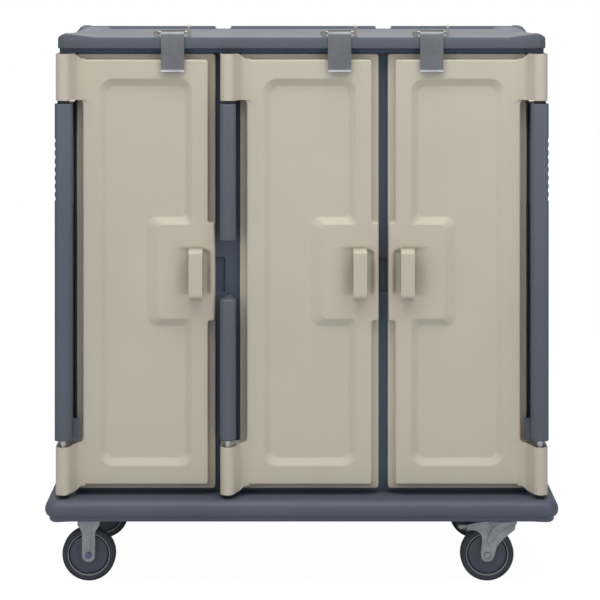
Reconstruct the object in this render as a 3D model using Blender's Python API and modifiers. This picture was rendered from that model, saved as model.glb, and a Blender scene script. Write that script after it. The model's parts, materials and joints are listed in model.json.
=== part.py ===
"""Tray meal delivery cart, modelled as named parts in metres, +Z up, front towards -Y.

The origin is the middle of the footprint on the floor. Places in front of the cabinet's
front face are given as a distance ahead of it, and a door's own places are measured
from its hinge axis towards its latch side.
"""
import math

import bmesh
import bpy
from mathutils import Matrix, Vector

# Clearances
GAP = 0.0003
OVERRUN = 0.005
SINK = 0.004

# Casters: wheel, then how far the base's underside lies above the wheel
WHEEL_DIAMETER = 0.152
WHEEL_WIDTH = 0.038
WHEEL_CORNER = 0.009
TYRE_DEPTH = 0.0155
RING_STEP = 0.003
RING_DEPTH = 0.002
CORE_RECESS = 0.006
CORE_RIM = 0.007
HUB_RADIUS = 0.019
HUB_WIDTH = 0.043
AXLE_DIAMETER = 0.012
AXLE_HEAD_DIAMETER = 0.019
AXLE_HEAD_HEIGHT = 0.006
ABOVE_WHEEL = 0.041
CASTER_FROM_SIDE = 0.117
CASTER_FROM_END = 0.120
FORK_SHEET = 0.004
FORK_INSIDE = 0.046
FORK_LEG_WIDTH = 0.038
FORK_SHOULDER_WIDTH = 0.064
FORK_NECK_HEIGHT = 0.145
FORK_SHOULDER_HEIGHT = 0.164
FORK_CROWN = 0.006
FORK_INSET = 0.001
PLATE_THICKNESS = 0.005
PLATE_CORNER = 0.006
RIGID_PLATE_WIDTH = 0.064
RIGID_PLATE_LENGTH = 0.095
SWIVEL_PLATE_WIDTH = 0.088
SWIVEL_PLATE_LENGTH = 0.102
KINGPIN_INSET = 0.038
TRAIL = 0.040
RACEWAY_DIAMETER = 0.076
RACEWAY_HEIGHT = 0.008
KINGPIN_DIAMETER = 0.012
CROWN_DIAMETER = 0.088
CROWN_HEIGHT = 0.016
CROWN_CORNER = 0.004
BOLT_DIAMETER = 0.008
BOLT_FROM_PLATE_EDGE = 0.0095

# Swivel fork leg, as places about the axle: ahead of it is towards the kingpin
LEG_END_RADIUS = 0.020
LEG_BEND_X = 0.031
LEG_BEND_Z = 0.029
LEG_CROWN_X = 0.077
LEG_CROWN_Z = 0.072
LEG_ARM_X = 0.058
LEG_ARM_LOW_Z = 0.0695
LEG_ARM_HIGH_Z = 0.084
LEG_ARM_TOP_X = 0.050
LEG_ELBOW_X = 0.029
LEG_INNER_X = 0.014
LEG_INNER_Z = 0.055

# Brake pedal, as places about its pin: away is away from the kingpin
PEDAL_PIVOT_X = 0.038
PEDAL_PIVOT_Z = 0.077
PEDAL_PIN_RADIUS = 0.003
PEDAL_WIDTH = 0.036
PEDAL_EYE = 0.006
PEDAL_NECK = 0.017
PEDAL_NECK_HALF = 0.005
PEDAL_TREAD_NEAR = 0.020
PEDAL_TREAD_FAR = 0.044
PEDAL_TREAD_Z = 0.018
PEDAL_TOE_Z = 0.001
PEDAL_HEEL_X = 0.040
PEDAL_HEEL_Z = 0.007
PEDAL_RIB = 0.0015
PEDAL_RIBS = 4

# Base bumper
BUMPER_SIDE = 0.074
BUMPER_NOSE = 0.125
BUMPER_TAIL = 0.028
BUMPER_CORNER = 0.040
BUMPER_HEIGHT = 0.044
BUMPER_ROUND = 0.013
SKIRT_HEIGHT = 0.014
SKIRT_INSET = 0.012

# Cabinet
BODY_DEPTH = 0.555
BODY_HEIGHT = 1.2557
BODY_CORNER = 0.012
SIDE_WALL = 0.024
BACK_WALL = 0.024
FLOOR_THICKNESS = 0.0487
HEAD_HEIGHT = 0.066
COLUMN_WIDTH = 0.102
MULLION_WIDTH = 0.062
COMPARTMENT_WIDTH = 0.362
POCKET_BOTTOM = 0.554
POCKET_HEIGHT = 0.100
POCKET_DEPTH = 0.010
COLUMN_POCKET_WIDTH = 0.027
MULLION_POCKET_WIDTH = 0.020

# Tray slides
LEDGES = 8
LEDGE_WIDTH = 0.014
LEDGE_SHEET = 0.002
LEDGE_INSET = 0.002
LOWEST_LEDGE = 0.060
ABOVE_LEDGES = 0.150
SLIDE_SETBACK = 0.022
BEHIND_SLIDES = 0.029
SLIDE_END_SPACE = 0.005

# Hinges and posts
HINGE_TO_OPENING = 0.047
HINGE_AHEAD = 0.080
PIN_DIAMETER = 0.016
BORE_CLEARANCE = 0.0003
BUSHING_HEIGHT = 0.0114
BUSHING_DIAMETER = 0.021
COLLAR_HEIGHT = 0.0084
COLLAR_DIAMETER = 0.034
PIN_SHOWN = 0.019
PIN_IN_POST = 0.016
PIN_IN_TOP_LUG = 0.118
SIDE_BAR_WIDTH = 0.049
MIDDLE_BAR_WIDTH = 0.044
BAR_FRONT = 0.100
BAR_BACK = 0.060
BAR_ROUND = 0.017
BAR_END_ROUND = 0.004
SIDE_WEB_OUTSIDE = 0.041
SIDE_WEB_BACK = 0.030
MIDDLE_WEB_WIDTH = 0.026
MIDDLE_GAP_BOTTOM = 0.550
MIDDLE_GAP_HEIGHT = 0.164
ABOVE_HAND_HOLE = 0.083
HAND_HOLE_HEIGHT = 0.200
HAND_HOLE_DEPTH = 0.046
HAND_HOLE_ROUND = 0.018
SCALLOPS = 8
SCALLOP_PITCH = 0.0234
SCALLOP_START = 0.016
SCALLOP_RADIUS = 0.010
SCALLOP_DEPTH = 0.0037

# Door, measured from its hinge axis
DOOR_TO_ROOF = 0.0033
FLANGE_NEAR = 0.032
DOOR_OVERLAP = 0.018
FLANGE_END_INSET = 0.002
FLANGE_BACK = 0.003
FLANGE_FRONT = 0.027
FLANGE_ROUND = 0.004
FACE_NEAR = 0.051
FACE_SETBACK = 0.019
FACE_BOTTOM = 0.018
FACE_TOP_INSET = 0.015
FACE_FRONT = 0.054
FACE_ROUND = 0.005
DOOR_CORNER = 0.009
TAB_BOTTOM = 0.482
TAB_HEIGHT = 0.280
LUG_HEIGHT = 0.132
LUG_RADIUS = 0.0205
LUG_BACK = 0.008
LUG_FACE_JOIN = 0.037
LUG_INSIDE = 0.060
LUG_SUNK = 0.006
LUG_ROUND = 0.007
PANEL_NEAR = 0.100
PANEL_SETBACK = 0.065
PANEL_BOTTOM = 0.072
PANEL_SLOPE = 0.021
PANEL_DEPTH = 0.012
PANEL_CORNER = 0.024
PANEL_FLOOR_CORNER = 0.012
PAD_CORNER = 0.014
PAD_FLOOR_CORNER = 0.026
PAD_WIDTH = 0.194
PAD_SLOPE_NEAR = 0.034
PAD_BOTTOM = 0.468
PAD_HEIGHT = 0.308
WELL_WIDTH = 0.103
WELL_SETBACK = 0.012
WELL_BOTTOM = 0.543
WELL_HEIGHT = 0.151
WELL_DEPTH = 0.007
WELL_SLOPE = 0.005
WELL_CORNER = 0.014
WELL_FLOOR_CORNER = 0.008
LINER_CLEARANCE = 0.008
LINER_DEPTH = 0.0207
LINER_ROUND = 0.004
LINER_CORNER = 0.012
GASKET_OVERLAP = 0.009
GASKET_CORNER = 0.014

# Door handle
HANDLE_SETBACK = 0.054
HANDLE_WIDTH = 0.038
HANDLE_FRONT = 0.100
HANDLE_BAR = 0.020
HANDLE_FOOT = 0.017
HANDLE_FROM_SLOPE = 0.001
HANDLE_SLANT = 0.010
HANDLE_DRAFT = 0.001
HANDLE_ROUND = 0.005
HANDLE_CORNER = 0.014
HANDLE_INSIDE_CORNER = 0.008

# Roof cap
ROOF_LIP_HEIGHT = 0.010
ROOF_LIP_INSET = 0.005
ROOF_HEIGHT = 0.032
ROOF_SIDE = 0.042
ROOF_AHEAD = 0.060
ROOF_BEHIND = 0.005
ROOF_CHAMFER_X = 0.017
ROOF_CHAMFER_Y = 0.013
ROOF_ROUND = 0.003
PLATFORM_WIDTH = 0.097
PLATFORM_RISE = 0.006
PLATFORM_SETBACK = 0.002
PLATFORM_BEHIND = 0.060
SHOULDER_WIDTH = 0.041
SHOULDER_DROP = 0.012
CORNER_BLOCK_LENGTH = 0.057
CORNER_BLOCK_RISE = 0.015
CORNER_BLOCK_INSET = 0.002
RIM_THICKNESS = 0.024
RIM_RISE = 0.013
RIM_INSET = 0.003
RIM_ROUND = 0.002
LEFT_NOTCH_FROM_MIDDLE = 0.243
RIGHT_NOTCH_FROM_MIDDLE = 0.2525
NOTCH_WIDTH = 0.040
NOTCH_SLANT = 0.005

# Roof latches, each at its own distance from its door's latch side
LEFT_LATCH_SETBACK = 0.120
MIDDLE_LATCH_SETBACK = 0.112
RIGHT_LATCH_SETBACK = 0.123
ROD_DIAMETER = 0.007
ROD_AHEAD = 0.050
ROD_RISE = 0.014
ROD_CLEARANCE = 0.0003
STRIP_WIDTH = 0.104
STRIP_AHEAD = 0.058
STRIP_LENGTH = 0.030
STRIP_SHEET = 0.002
STRIP_CORNER = 0.003
EAR_THICKNESS = 0.008
EAR_LENGTH = 0.015
EAR_RISE = 0.035
EAR_ROUND = 0.007
EAR_X = 0.046
EYE_DIAMETER = 0.017
EYE_THICKNESS = 0.010
KNUCKLE_RADIUS = 0.007
FLAP_WIDTH = 0.0656
FLAP_SHEET = 0.003
FLAP_AHEAD = 0.013
FLAP_LENGTH = 0.103
FLAP_BEND = 0.0035
LIP_OUT = 0.006
LIP_DROP = 0.009
ROD_SHOWN = 0.0015

# How finely round shapes are cut
CORNER_STEPS = 3
ROUND_SIDES = 20
SMALL_SIDES = 10
WHEEL_STEPS = 24
TREAD_STEPS = 2
LUG_STEPS = 8
END_STEPS = 6

# Places that follow from the sizes
AXLE_Z = WHEEL_DIAMETER / 2
CASTER_HEIGHT = WHEEL_DIAMETER + ABOVE_WHEEL
SKIRT_TOP = CASTER_HEIGHT + SKIRT_HEIGHT
DECK_Z = SKIRT_TOP + BUMPER_HEIGHT
BUMPER_DEPTH = BUMPER_NOSE + BODY_DEPTH + BUMPER_TAIL
BODY_FRONT_Y = BUMPER_NOSE - BUMPER_DEPTH / 2
BODY_BOTTOM = DECK_Z + GAP
BODY_TOP = BODY_BOTTOM + BODY_HEIGHT
OPENING_BOTTOM = BODY_BOTTOM + FLOOR_THICKNESS
OPENING_TOP = BODY_TOP - HEAD_HEIGHT
COMPARTMENT_HEIGHT = OPENING_TOP - OPENING_BOTTOM
LEDGE_PITCH = (COMPARTMENT_HEIGHT - LOWEST_LEDGE - ABOVE_LEDGES) / (LEDGES - 1)
SLIDE_LENGTH = BODY_DEPTH - BACK_WALL - SLIDE_SETBACK - BEHIND_SLIDES
DOOR_NAMES = ("left", "middle", "right")
WALLS_WIDTH = 2 * SIDE_WALL + COLUMN_WIDTH + MULLION_WIDTH
BODY_WIDTH = WALLS_WIDTH + len(DOOR_NAMES) * COMPARTMENT_WIDTH
BUMPER_WIDTH = BODY_WIDTH + 2 * BUMPER_SIDE
ROOF_WIDTH = BODY_WIDTH + 2 * ROOF_SIDE
CASTER_X = BUMPER_WIDTH / 2 - CASTER_FROM_SIDE
CASTER_Y = BUMPER_DEPTH / 2 - CASTER_FROM_END
KINGPIN_X = CASTER_X - KINGPIN_INSET
OPENING_LEFTS = (
    -BODY_WIDTH / 2 + SIDE_WALL,
    -BODY_WIDTH / 2 + SIDE_WALL + COMPARTMENT_WIDTH + COLUMN_WIDTH,
    BODY_WIDTH / 2 - SIDE_WALL - COMPARTMENT_WIDTH,
)
HINGE_Y = BODY_FRONT_Y - HINGE_AHEAD
DOOR_SIDES = (1, 1, -1)
HINGE_XS = (
    OPENING_LEFTS[0] - HINGE_TO_OPENING,
    OPENING_LEFTS[1] - HINGE_TO_OPENING,
    OPENING_LEFTS[2] + COMPARTMENT_WIDTH + HINGE_TO_OPENING,
)
FLANGE_FAR = HINGE_TO_OPENING + COMPARTMENT_WIDTH + DOOR_OVERLAP
FACE_FAR = FLANGE_FAR - FACE_SETBACK
PANEL_FAR = FLANGE_FAR - PANEL_SETBACK
PAD_NEAR = FLANGE_FAR - PAD_WIDTH
WELL_FAR = FLANGE_FAR - WELL_SETBACK
WELL_NEAR = WELL_FAR - WELL_WIDTH
HANDLE_CENTRE = FLANGE_FAR - HANDLE_SETBACK
LATCH_FROM_HINGES = (
    FLANGE_FAR - LEFT_LATCH_SETBACK,
    FLANGE_FAR - MIDDLE_LATCH_SETBACK,
    FLANGE_FAR - RIGHT_LATCH_SETBACK,
)
DOOR_BOTTOM = DECK_Z + GAP + BUSHING_HEIGHT + GAP
ROOF_BOTTOM = BODY_TOP + GAP
DOOR_TOP = ROOF_BOTTOM - DOOR_TO_ROOF
DOOR_HEIGHT = DOOR_TOP - DOOR_BOTTOM
PANEL_HEIGHT = DOOR_HEIGHT - 2 * PANEL_BOTTOM
LOWER_LUG_TOP = DOOR_BOTTOM + LUG_HEIGHT
UPPER_LUG_BOTTOM = DOOR_TOP - LUG_HEIGHT
POST_BOTTOM = LOWER_LUG_TOP + PIN_SHOWN
COLLAR_BOTTOM = UPPER_LUG_BOTTOM - GAP - COLLAR_HEIGHT
POST_TOP = COLLAR_BOTTOM - GAP
HAND_HOLE_TOP = POST_TOP - ABOVE_HAND_HOLE
HAND_HOLE_BOTTOM = HAND_HOLE_TOP - HAND_HOLE_HEIGHT
ROOF_SLAB_BOTTOM = ROOF_BOTTOM + ROOF_LIP_HEIGHT
ROOF_TOP = ROOF_SLAB_BOTTOM + ROOF_HEIGHT
ROD_Z = ROOF_TOP + ROD_RISE
PIN_BORE = PIN_DIAMETER / 2 + BORE_CLEARANCE
PLATE_TOP = CASTER_HEIGHT - GAP
PLATE_BOTTOM = PLATE_TOP - PLATE_THICKNESS
RACEWAY_BOTTOM = PLATE_BOTTOM - RACEWAY_HEIGHT
CROWN_TOP = RACEWAY_BOTTOM - GAP
CROWN_BOTTOM = CROWN_TOP - CROWN_HEIGHT

# Surfaces: colour as 8-bit shares of full, roughness, metallic
BEIGE = ((194, 186, 166), 0.55, 0.0)
LINER_BEIGE = ((186, 178, 158), 0.6, 0.0)
SLATE = ((90, 94, 104), 0.6, 0.0)
BUMPER_SLATE = ((88, 91, 102), 0.65, 0.0)
BLACK = ((28, 29, 32), 0.5, 0.0)
GASKET_GREY = ((52, 54, 58), 0.75, 0.0)
STEEL = ((150, 150, 152), 0.35, 1.0)
ZINC = ((150, 153, 156), 0.4, 1.0)
SLIDE_STEEL = ((168, 170, 172), 0.35, 1.0)
TYRE_GREY = ((52, 54, 58), 0.7, 0.0)
CORE_GREY = ((64, 66, 72), 0.5, 0.0)


def clear_scene():
    """Empty the scene before anything is made."""
    for item in list(bpy.data.objects):
        bpy.data.objects.remove(item, do_unlink=True)


def new_collection(name):
    """Add a collection to the scene."""
    collection = bpy.data.collections.new(name)
    bpy.context.scene.collection.children.link(collection)
    return collection


clear_scene()
PARTS = new_collection("tray_delivery_cart")
CUTTERS = new_collection("cutters")


def linear(byte_value):
    """Turn an 8-bit screen colour value into the linear value that a shader takes."""
    share = byte_value / 255
    if share <= 0.04045:
        return share / 12.92
    return ((share + 0.055) / 1.055) ** 2.4


def surface(name, look):
    """Make a Principled material from a colour, a roughness and a metallic value."""
    colour, roughness, metallic = look
    made = bpy.data.materials.new(name)
    made.use_nodes = True
    shader = made.node_tree.nodes["Principled BSDF"]
    shader.inputs["Base Color"].default_value = [linear(value) for value in colour] + [1]
    shader.inputs["Roughness"].default_value = roughness
    shader.inputs["Metallic"].default_value = metallic
    made.diffuse_color = shader.inputs["Base Color"].default_value
    return made


def part(name, mesh, look, parent=None, rotation=(0, 0, 0)):
    """Make one named part, with its own material."""
    made = bpy.data.objects.new(name, mesh)
    mesh.name = name
    mesh.materials.clear()
    mesh.materials.append(surface(name + "_surface", look))
    made.parent = parent
    made.rotation_euler = rotation
    PARTS.objects.link(made)
    return made


def tool(name, mesh, parent=None):
    """Make a solid that only cuts or joins a part, kept out of renders."""
    made = bpy.data.objects.new(name, mesh)
    made.parent = parent
    made.hide_render = True
    made.display_type = "WIRE"
    CUTTERS.objects.link(made)
    return made


def pivot(name, location, parent=None):
    """Make an empty on a joint's axis, which carries a moving body's parts."""
    made = bpy.data.objects.new(name, None)
    made.location = location
    made.parent = parent
    made.empty_display_size = WHEEL_DIAMETER / 2
    PARTS.objects.link(made)
    return made


def combine(target, other, operation):
    """Cut a tool out of a part, or join it on, with an exact Boolean."""
    modifier = target.modifiers.new(operation.lower() + "_" + other.name, "BOOLEAN")
    modifier.operation = operation
    modifier.solver = "EXACT"
    modifier.object = other
    return target


def cut(target, mesh):
    """Cut a mesh, placed in the target's parent's space, out of the target."""
    cutter = tool("{}_cut_{}".format(target.name, len(target.modifiers)), mesh, target.parent)
    return combine(target, cutter, "DIFFERENCE")


def fuse(target, mesh, width=0, segments=2):
    """Join a mesh, placed in the target's parent's space, on to the target."""
    added = tool("{}_join_{}".format(target.name, len(target.modifiers)), mesh, target.parent)
    if width:
        round_edges(added, width, segments)
    return combine(target, added, "UNION")


def round_edges(target, width, segments=2, angle=60):
    """Round the edges that turn by more than an angle in degrees."""
    modifier = target.modifiers.new("rounded_edges", "BEVEL")
    modifier.width = width
    modifier.segments = segments
    modifier.limit_method = "ANGLE"
    modifier.angle_limit = math.radians(angle)
    return target


def ahead(distance):
    """The Y of a place this far ahead of the cabinet's front face."""
    return BODY_FRONT_Y - distance


def behind_hinge(distance):
    """A place ahead of the cabinet's front face, as a Y behind the hinge axis."""
    return HINGE_AHEAD - distance


def rectangle(left, right, bottom, top):
    """The four corners of a rectangle."""
    return [(left, bottom), (right, bottom), (right, top), (left, top)]


def round_corners(corners, radii, steps=CORNER_STEPS):
    """Replace each corner of an outline with an arc that meets both its sides.

    The radii are one for all the corners, or one each, and a corner with none stays sharp.
    """
    points = []
    count = len(corners)
    if not isinstance(radii, (list, tuple)):
        radii = [radii] * count
    for index, (corner, radius) in enumerate(zip(corners, radii)):
        if radius == 0:
            points.append(tuple(corner))
            continue
        here = Vector(corner)
        to_last = (Vector(corners[index - 1]) - here).normalized()
        to_next = (Vector(corners[(index + 1) % count]) - here).normalized()
        half = to_last.angle(to_next) / 2
        centre = here + (to_last + to_next).normalized() * radius / math.sin(half)
        first = here + to_last * radius / math.tan(half) - centre
        last = here + to_next * radius / math.tan(half) - centre
        turn = math.atan2(first.x * last.y - first.y * last.x, first.dot(last))
        for step in range(steps + 1):
            spoke = Matrix.Rotation(turn * step / steps, 2) @ first
            points.append(tuple(centre + spoke))
    return points


def arc(across, up, radius, start, end, steps):
    """Points on a round arc between two angles in degrees."""
    angles = [math.radians(start + (end - start) * step / steps) for step in range(steps + 1)]
    return [(across + radius * math.cos(angle), up + radius * math.sin(angle)) for angle in angles]


def mesh_from(shape):
    """Close a bmesh shape's normals outwards and store it as a mesh."""
    bmesh.ops.recalc_face_normals(shape, faces=shape.faces)
    mesh = bpy.data.meshes.new("shape")
    shape.to_mesh(mesh)
    shape.free()
    return mesh


def facing(axis):
    """The turn that lays a flat outline's own Z along an axis, keeping its Z side up."""
    if axis == "X":
        return Matrix(((0, 0, 1, 0), (1, 0, 0, 0), (0, 1, 0, 0), (0, 0, 0, 1)))
    if axis == "Y":
        return Matrix.Rotation(math.radians(90), 4, "X")
    return Matrix.Identity(4)


def prism(outline, axis, low, high, hole=None):
    """A flat outline made solid from low to high along an axis, with one hole if given.

    The outline's points are X, Y along Z, X, Z along Y, and Y, Z along X.
    """
    curve = bpy.data.curves.new("outline", "CURVE")
    curve.dimensions = "2D"
    curve.fill_mode = "BOTH"
    curve.extrude = (high - low) / 2
    for points in (outline, hole) if hole else (outline,):
        spline = curve.splines.new("POLY")
        spline.points.add(len(points) - 1)
        for point, place in zip(spline.points, points):
            point.co = (place[0], place[1], 0, 1)
        spline.use_cyclic_u = True
    holder = bpy.data.objects.new("outline", curve)
    bpy.context.scene.collection.objects.link(holder)
    bpy.context.view_layer.update()
    evaluated = holder.evaluated_get(bpy.context.evaluated_depsgraph_get())
    flat = bpy.data.meshes.new_from_object(evaluated)
    bpy.data.objects.remove(holder, do_unlink=True)
    shape = bmesh.new()
    shape.from_mesh(flat)
    bmesh.ops.remove_doubles(shape, verts=shape.verts, dist=GAP / 100)
    if not hole:
        bmesh.ops.dissolve_limit(
            shape, angle_limit=math.radians(0.1), verts=shape.verts, edges=shape.edges
        )
    middle = (low + high) / 2
    shift = {"X": (middle, 0, 0), "Y": (0, middle, 0), "Z": (0, 0, middle)}[axis]
    bmesh.ops.transform(
        shape, matrix=Matrix.Translation(shift) @ facing(axis), verts=shape.verts
    )
    return mesh_from(shape)


def box(low, high):
    """A box between two opposite corners, given in either order."""
    low, high = Vector(low), Vector(high)
    size = high - low
    shape = bmesh.new()
    bmesh.ops.create_cube(shape, size=1)
    scale = Matrix.Diagonal((abs(size.x), abs(size.y), abs(size.z), 1))
    place = Matrix.Translation((low + high) / 2) @ scale
    bmesh.ops.transform(shape, matrix=place, verts=shape.verts)
    return mesh_from(shape)


def rod(radius, start, end, sides=ROUND_SIDES):
    """A round bar between two points."""
    start, end = Vector(start), Vector(end)
    shape = bmesh.new()
    bmesh.ops.create_cone(
        shape, cap_ends=True, segments=sides, radius1=radius, radius2=radius,
        depth=(end - start).length,
    )
    turn = (end - start).to_track_quat("Z", "Y").to_matrix().to_4x4()
    place = Matrix.Translation((start + end) / 2) @ turn
    bmesh.ops.transform(shape, matrix=place, verts=shape.verts)
    for face in shape.faces:
        face.smooth = len(face.verts) == 4
    return mesh_from(shape)


def loft(sections):
    """A closed solid through sections that have the same number of points."""
    shape = bmesh.new()
    rings = [[shape.verts.new(point) for point in section] for section in sections]
    for lower, upper in zip(rings, rings[1:]):
        for index in range(len(lower)):
            after = (index + 1) % len(lower)
            shape.faces.new((lower[index], lower[after], upper[after], upper[index]))
    shape.faces.new(reversed(rings[0]))
    shape.faces.new(rings[-1])
    return mesh_from(shape)


def spun(profile, x, y, sides=SMALL_SIDES):
    """A solid turned about an upright axis, from a profile with both its ends on the axis."""
    shape = bmesh.new()
    points = [shape.verts.new((x + radius, y, height)) for radius, height in profile]
    edges = [shape.edges.new(pair) for pair in zip(points, points[1:])]
    bmesh.ops.spin(
        shape, geom=points + edges, cent=(x, y, 0), axis=(0, 0, 1),
        angle=math.tau, steps=sides, use_merge=True,
    )
    bmesh.ops.remove_doubles(shape, verts=shape.verts, dist=GAP / 10)
    return mesh_from(shape)


def merged(meshes):
    """Put several separate solids in one mesh."""
    shape = bmesh.new()
    for mesh in meshes:
        shape.from_mesh(mesh)
    return mesh_from(shape)


def turned(name, profile, look, parent, closed=True, steps=WHEEL_STEPS):
    """A part turned about its own Z, which is laid along the world's Y.

    An open profile has both its ends on the axis.
    """
    shape = bmesh.new()
    points = [shape.verts.new((radius, 0, height)) for radius, height in profile]
    pairs = list(zip(points, points[1:]))
    if closed:
        pairs.append((points[-1], points[0]))
    for pair in pairs:
        shape.edges.new(pair)
    mesh = bpy.data.meshes.new(name)
    shape.to_mesh(mesh)
    shape.free()
    made = part(name, mesh, look, parent, rotation=(math.radians(90), 0, 0))
    screw = made.modifiers.new("turned", "SCREW")
    screw.axis = "Z"
    screw.steps = steps
    screw.render_steps = steps
    screw.use_merge_vertices = True
    screw.merge_threshold = GAP / 10
    return made


def make_base():
    """The base: a thick bumper all round, on a narrower skirt that carries the casters."""
    half_width, half_depth = BUMPER_WIDTH / 2, BUMPER_DEPTH / 2
    corners = rectangle(-half_width, half_width, -half_depth, half_depth)
    outline = round_corners(corners, BUMPER_CORNER, steps=6)
    base = part("base_bumper", prism(outline, "Z", SKIRT_TOP, DECK_Z), BUMPER_SLATE)
    round_edges(base, BUMPER_ROUND, segments=3)
    half_width -= SKIRT_INSET
    half_depth -= SKIRT_INSET
    corners = rectangle(-half_width, half_width, -half_depth, half_depth)
    outline = round_corners(corners, BUMPER_CORNER - SKIRT_INSET, steps=6)
    fuse(base, prism(outline, "Z", CASTER_HEIGHT, SKIRT_TOP + BUMPER_ROUND))


def make_cabinet():
    """The insulated cabinet: one hollow shell with three compartments open at the front."""
    half = BODY_WIDTH / 2
    back = ahead(-BODY_DEPTH)
    outline = (
        [(-half, ahead(0)), (half, ahead(0))]
        + arc(half - BODY_CORNER, back - BODY_CORNER, BODY_CORNER, 0, 90, CORNER_STEPS)
        + arc(BODY_CORNER - half, back - BODY_CORNER, BODY_CORNER, 90, 180, CORNER_STEPS)
    )
    shell = part("cabinet_shell", prism(outline, "Z", BODY_BOTTOM, BODY_TOP), SLATE)
    for left in OPENING_LEFTS:
        low = (left, ahead(OVERRUN), OPENING_BOTTOM)
        high = (left + COMPARTMENT_WIDTH, back - BACK_WALL, OPENING_TOP)
        cut(shell, box(low, high))
    column_pocket = HINGE_XS[0] + FLANGE_FAR + COLUMN_POCKET_WIDTH / 2
    mullion_pocket = (HINGE_XS[1] + HINGE_XS[2]) / 2
    for centre, width in (
        (column_pocket, COLUMN_POCKET_WIDTH),
        (mullion_pocket, MULLION_POCKET_WIDTH),
    ):
        low = (centre - width / 2, ahead(OVERRUN), DOOR_BOTTOM + POCKET_BOTTOM)
        high = (centre + width / 2, ahead(-POCKET_DEPTH), low[2] + POCKET_HEIGHT)
        cut(shell, box(low, high))


def roof_outline(inset):
    """The roof's plan, with its front corners cut off, drawn in by an inset."""
    side = ROOF_WIDTH / 2 - inset
    front = ahead(ROOF_AHEAD - inset)
    back = ahead(-BODY_DEPTH - ROOF_BEHIND + inset)
    return [
        (side, front + ROOF_CHAMFER_Y), (side, back), (-side, back),
        (-side, front + ROOF_CHAMFER_Y), (ROOF_CHAMFER_X - side, front),
        (side - ROOF_CHAMFER_X, front),
    ]


def rim_outline():
    """The rim along the roof's back edge, with its two sloping notches."""
    half = ROOF_WIDTH / 2 - SHOULDER_WIDTH
    top = ROOF_TOP + RIM_RISE
    outline = [(-half, ROOF_TOP - SINK), (-half, top)]
    for centre in (-LEFT_NOTCH_FROM_MIDDLE, RIGHT_NOTCH_FROM_MIDDLE):
        wide = NOTCH_WIDTH / 2
        narrow = wide - NOTCH_SLANT
        outline += [(centre - wide, top), (centre - narrow, ROOF_TOP)]
        outline += [(centre + narrow, ROOF_TOP), (centre + wide, top)]
    return outline + [(half, top), (half, ROOF_TOP - SINK)]


def make_roof():
    """The roof cap, which hangs over the doors, with raised ends and a rim at the back."""
    roof = part("roof_cap", prism(roof_outline(0), "Z", ROOF_SLAB_BOTTOM, ROOF_TOP), SLATE)
    round_edges(roof, ROOF_ROUND, segments=1, angle=80)
    lip = prism(roof_outline(ROOF_LIP_INSET), "Z", ROOF_BOTTOM, ROOF_SLAB_BOTTOM + ROOF_ROUND + SINK)
    fuse(roof, lip)
    outside = ROOF_WIDTH / 2
    back = ahead(-BODY_DEPTH)
    front = ahead(ROOF_AHEAD - PLATFORM_SETBACK)
    for side in (-1, 1):
        platform = [
            (side * (outside - PLATFORM_WIDTH), front),
            (side * (outside - ROOF_CHAMFER_X - PLATFORM_SETBACK), front),
            (side * (outside - PLATFORM_SETBACK), front + ROOF_CHAMFER_Y),
            (side * (outside - PLATFORM_SETBACK), ahead(-PLATFORM_BEHIND)),
            (side * (outside - PLATFORM_WIDTH), ahead(-PLATFORM_BEHIND)),
        ]
        raised = prism(platform, "Z", ROOF_TOP - ROOF_ROUND - SINK, ROOF_TOP + PLATFORM_RISE)
        fuse(roof, raised, ROOF_ROUND, segments=1)
        inside = outside - SHOULDER_WIDTH
        slope_end = outside + SHOULDER_WIDTH
        slope = [
            (side * inside, ROOF_TOP),
            (side * slope_end, ROOF_TOP - 2 * SHOULDER_DROP),
            (side * slope_end, ROOF_TOP + PLATFORM_RISE + OVERRUN),
            (side * inside, ROOF_TOP + PLATFORM_RISE + OVERRUN),
        ]
        block_front = back - CORNER_BLOCK_LENGTH
        cut(roof, prism(slope, "Y", ahead(-PLATFORM_BEHIND), block_front))
        low = (side * inside, block_front, ROOF_TOP - ROOF_ROUND - SINK)
        high = (side * (outside - CORNER_BLOCK_INSET), back, ROOF_TOP + CORNER_BLOCK_RISE)
        fuse(roof, box(low, high), ROOF_ROUND, segments=1)
    rim = prism(rim_outline(), "Y", back - RIM_THICKNESS, back - RIM_INSET)
    fuse(roof, rim, RIM_ROUND, segments=1)


def make_tray_slide(name, wall_x, side):
    """One slide panel against a compartment's wall: a thin back with ledges on it."""
    back = wall_x + side * GAP
    skin = back + side * LEDGE_SHEET
    front = ahead(-SLIDE_SETBACK)
    low = (back, front, OPENING_BOTTOM + SLIDE_END_SPACE)
    high = (skin, front + SLIDE_LENGTH, OPENING_TOP - SLIDE_END_SPACE)
    panel = part(name, box(low, high), SLIDE_STEEL)
    ledges = []
    for ledge in range(LEDGES):
        height = OPENING_BOTTOM + LOWEST_LEDGE + ledge * LEDGE_PITCH
        low = (skin - side * LEDGE_SHEET / 2, front + LEDGE_INSET, height)
        high = (skin + side * LEDGE_WIDTH, front + SLIDE_LENGTH - LEDGE_INSET, height + LEDGE_SHEET)
        ledges.append(box(low, high))
    fuse(panel, merged(ledges))


def make_tray_slides():
    """Two slide panels in each compartment, which hold the trays by their edges."""
    for left, name in zip(OPENING_LEFTS, DOOR_NAMES):
        make_tray_slide("tray_slide_{}_1".format(name), left, 1)
        make_tray_slide("tray_slide_{}_2".format(name), left + COMPARTMENT_WIDTH, -1)


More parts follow.
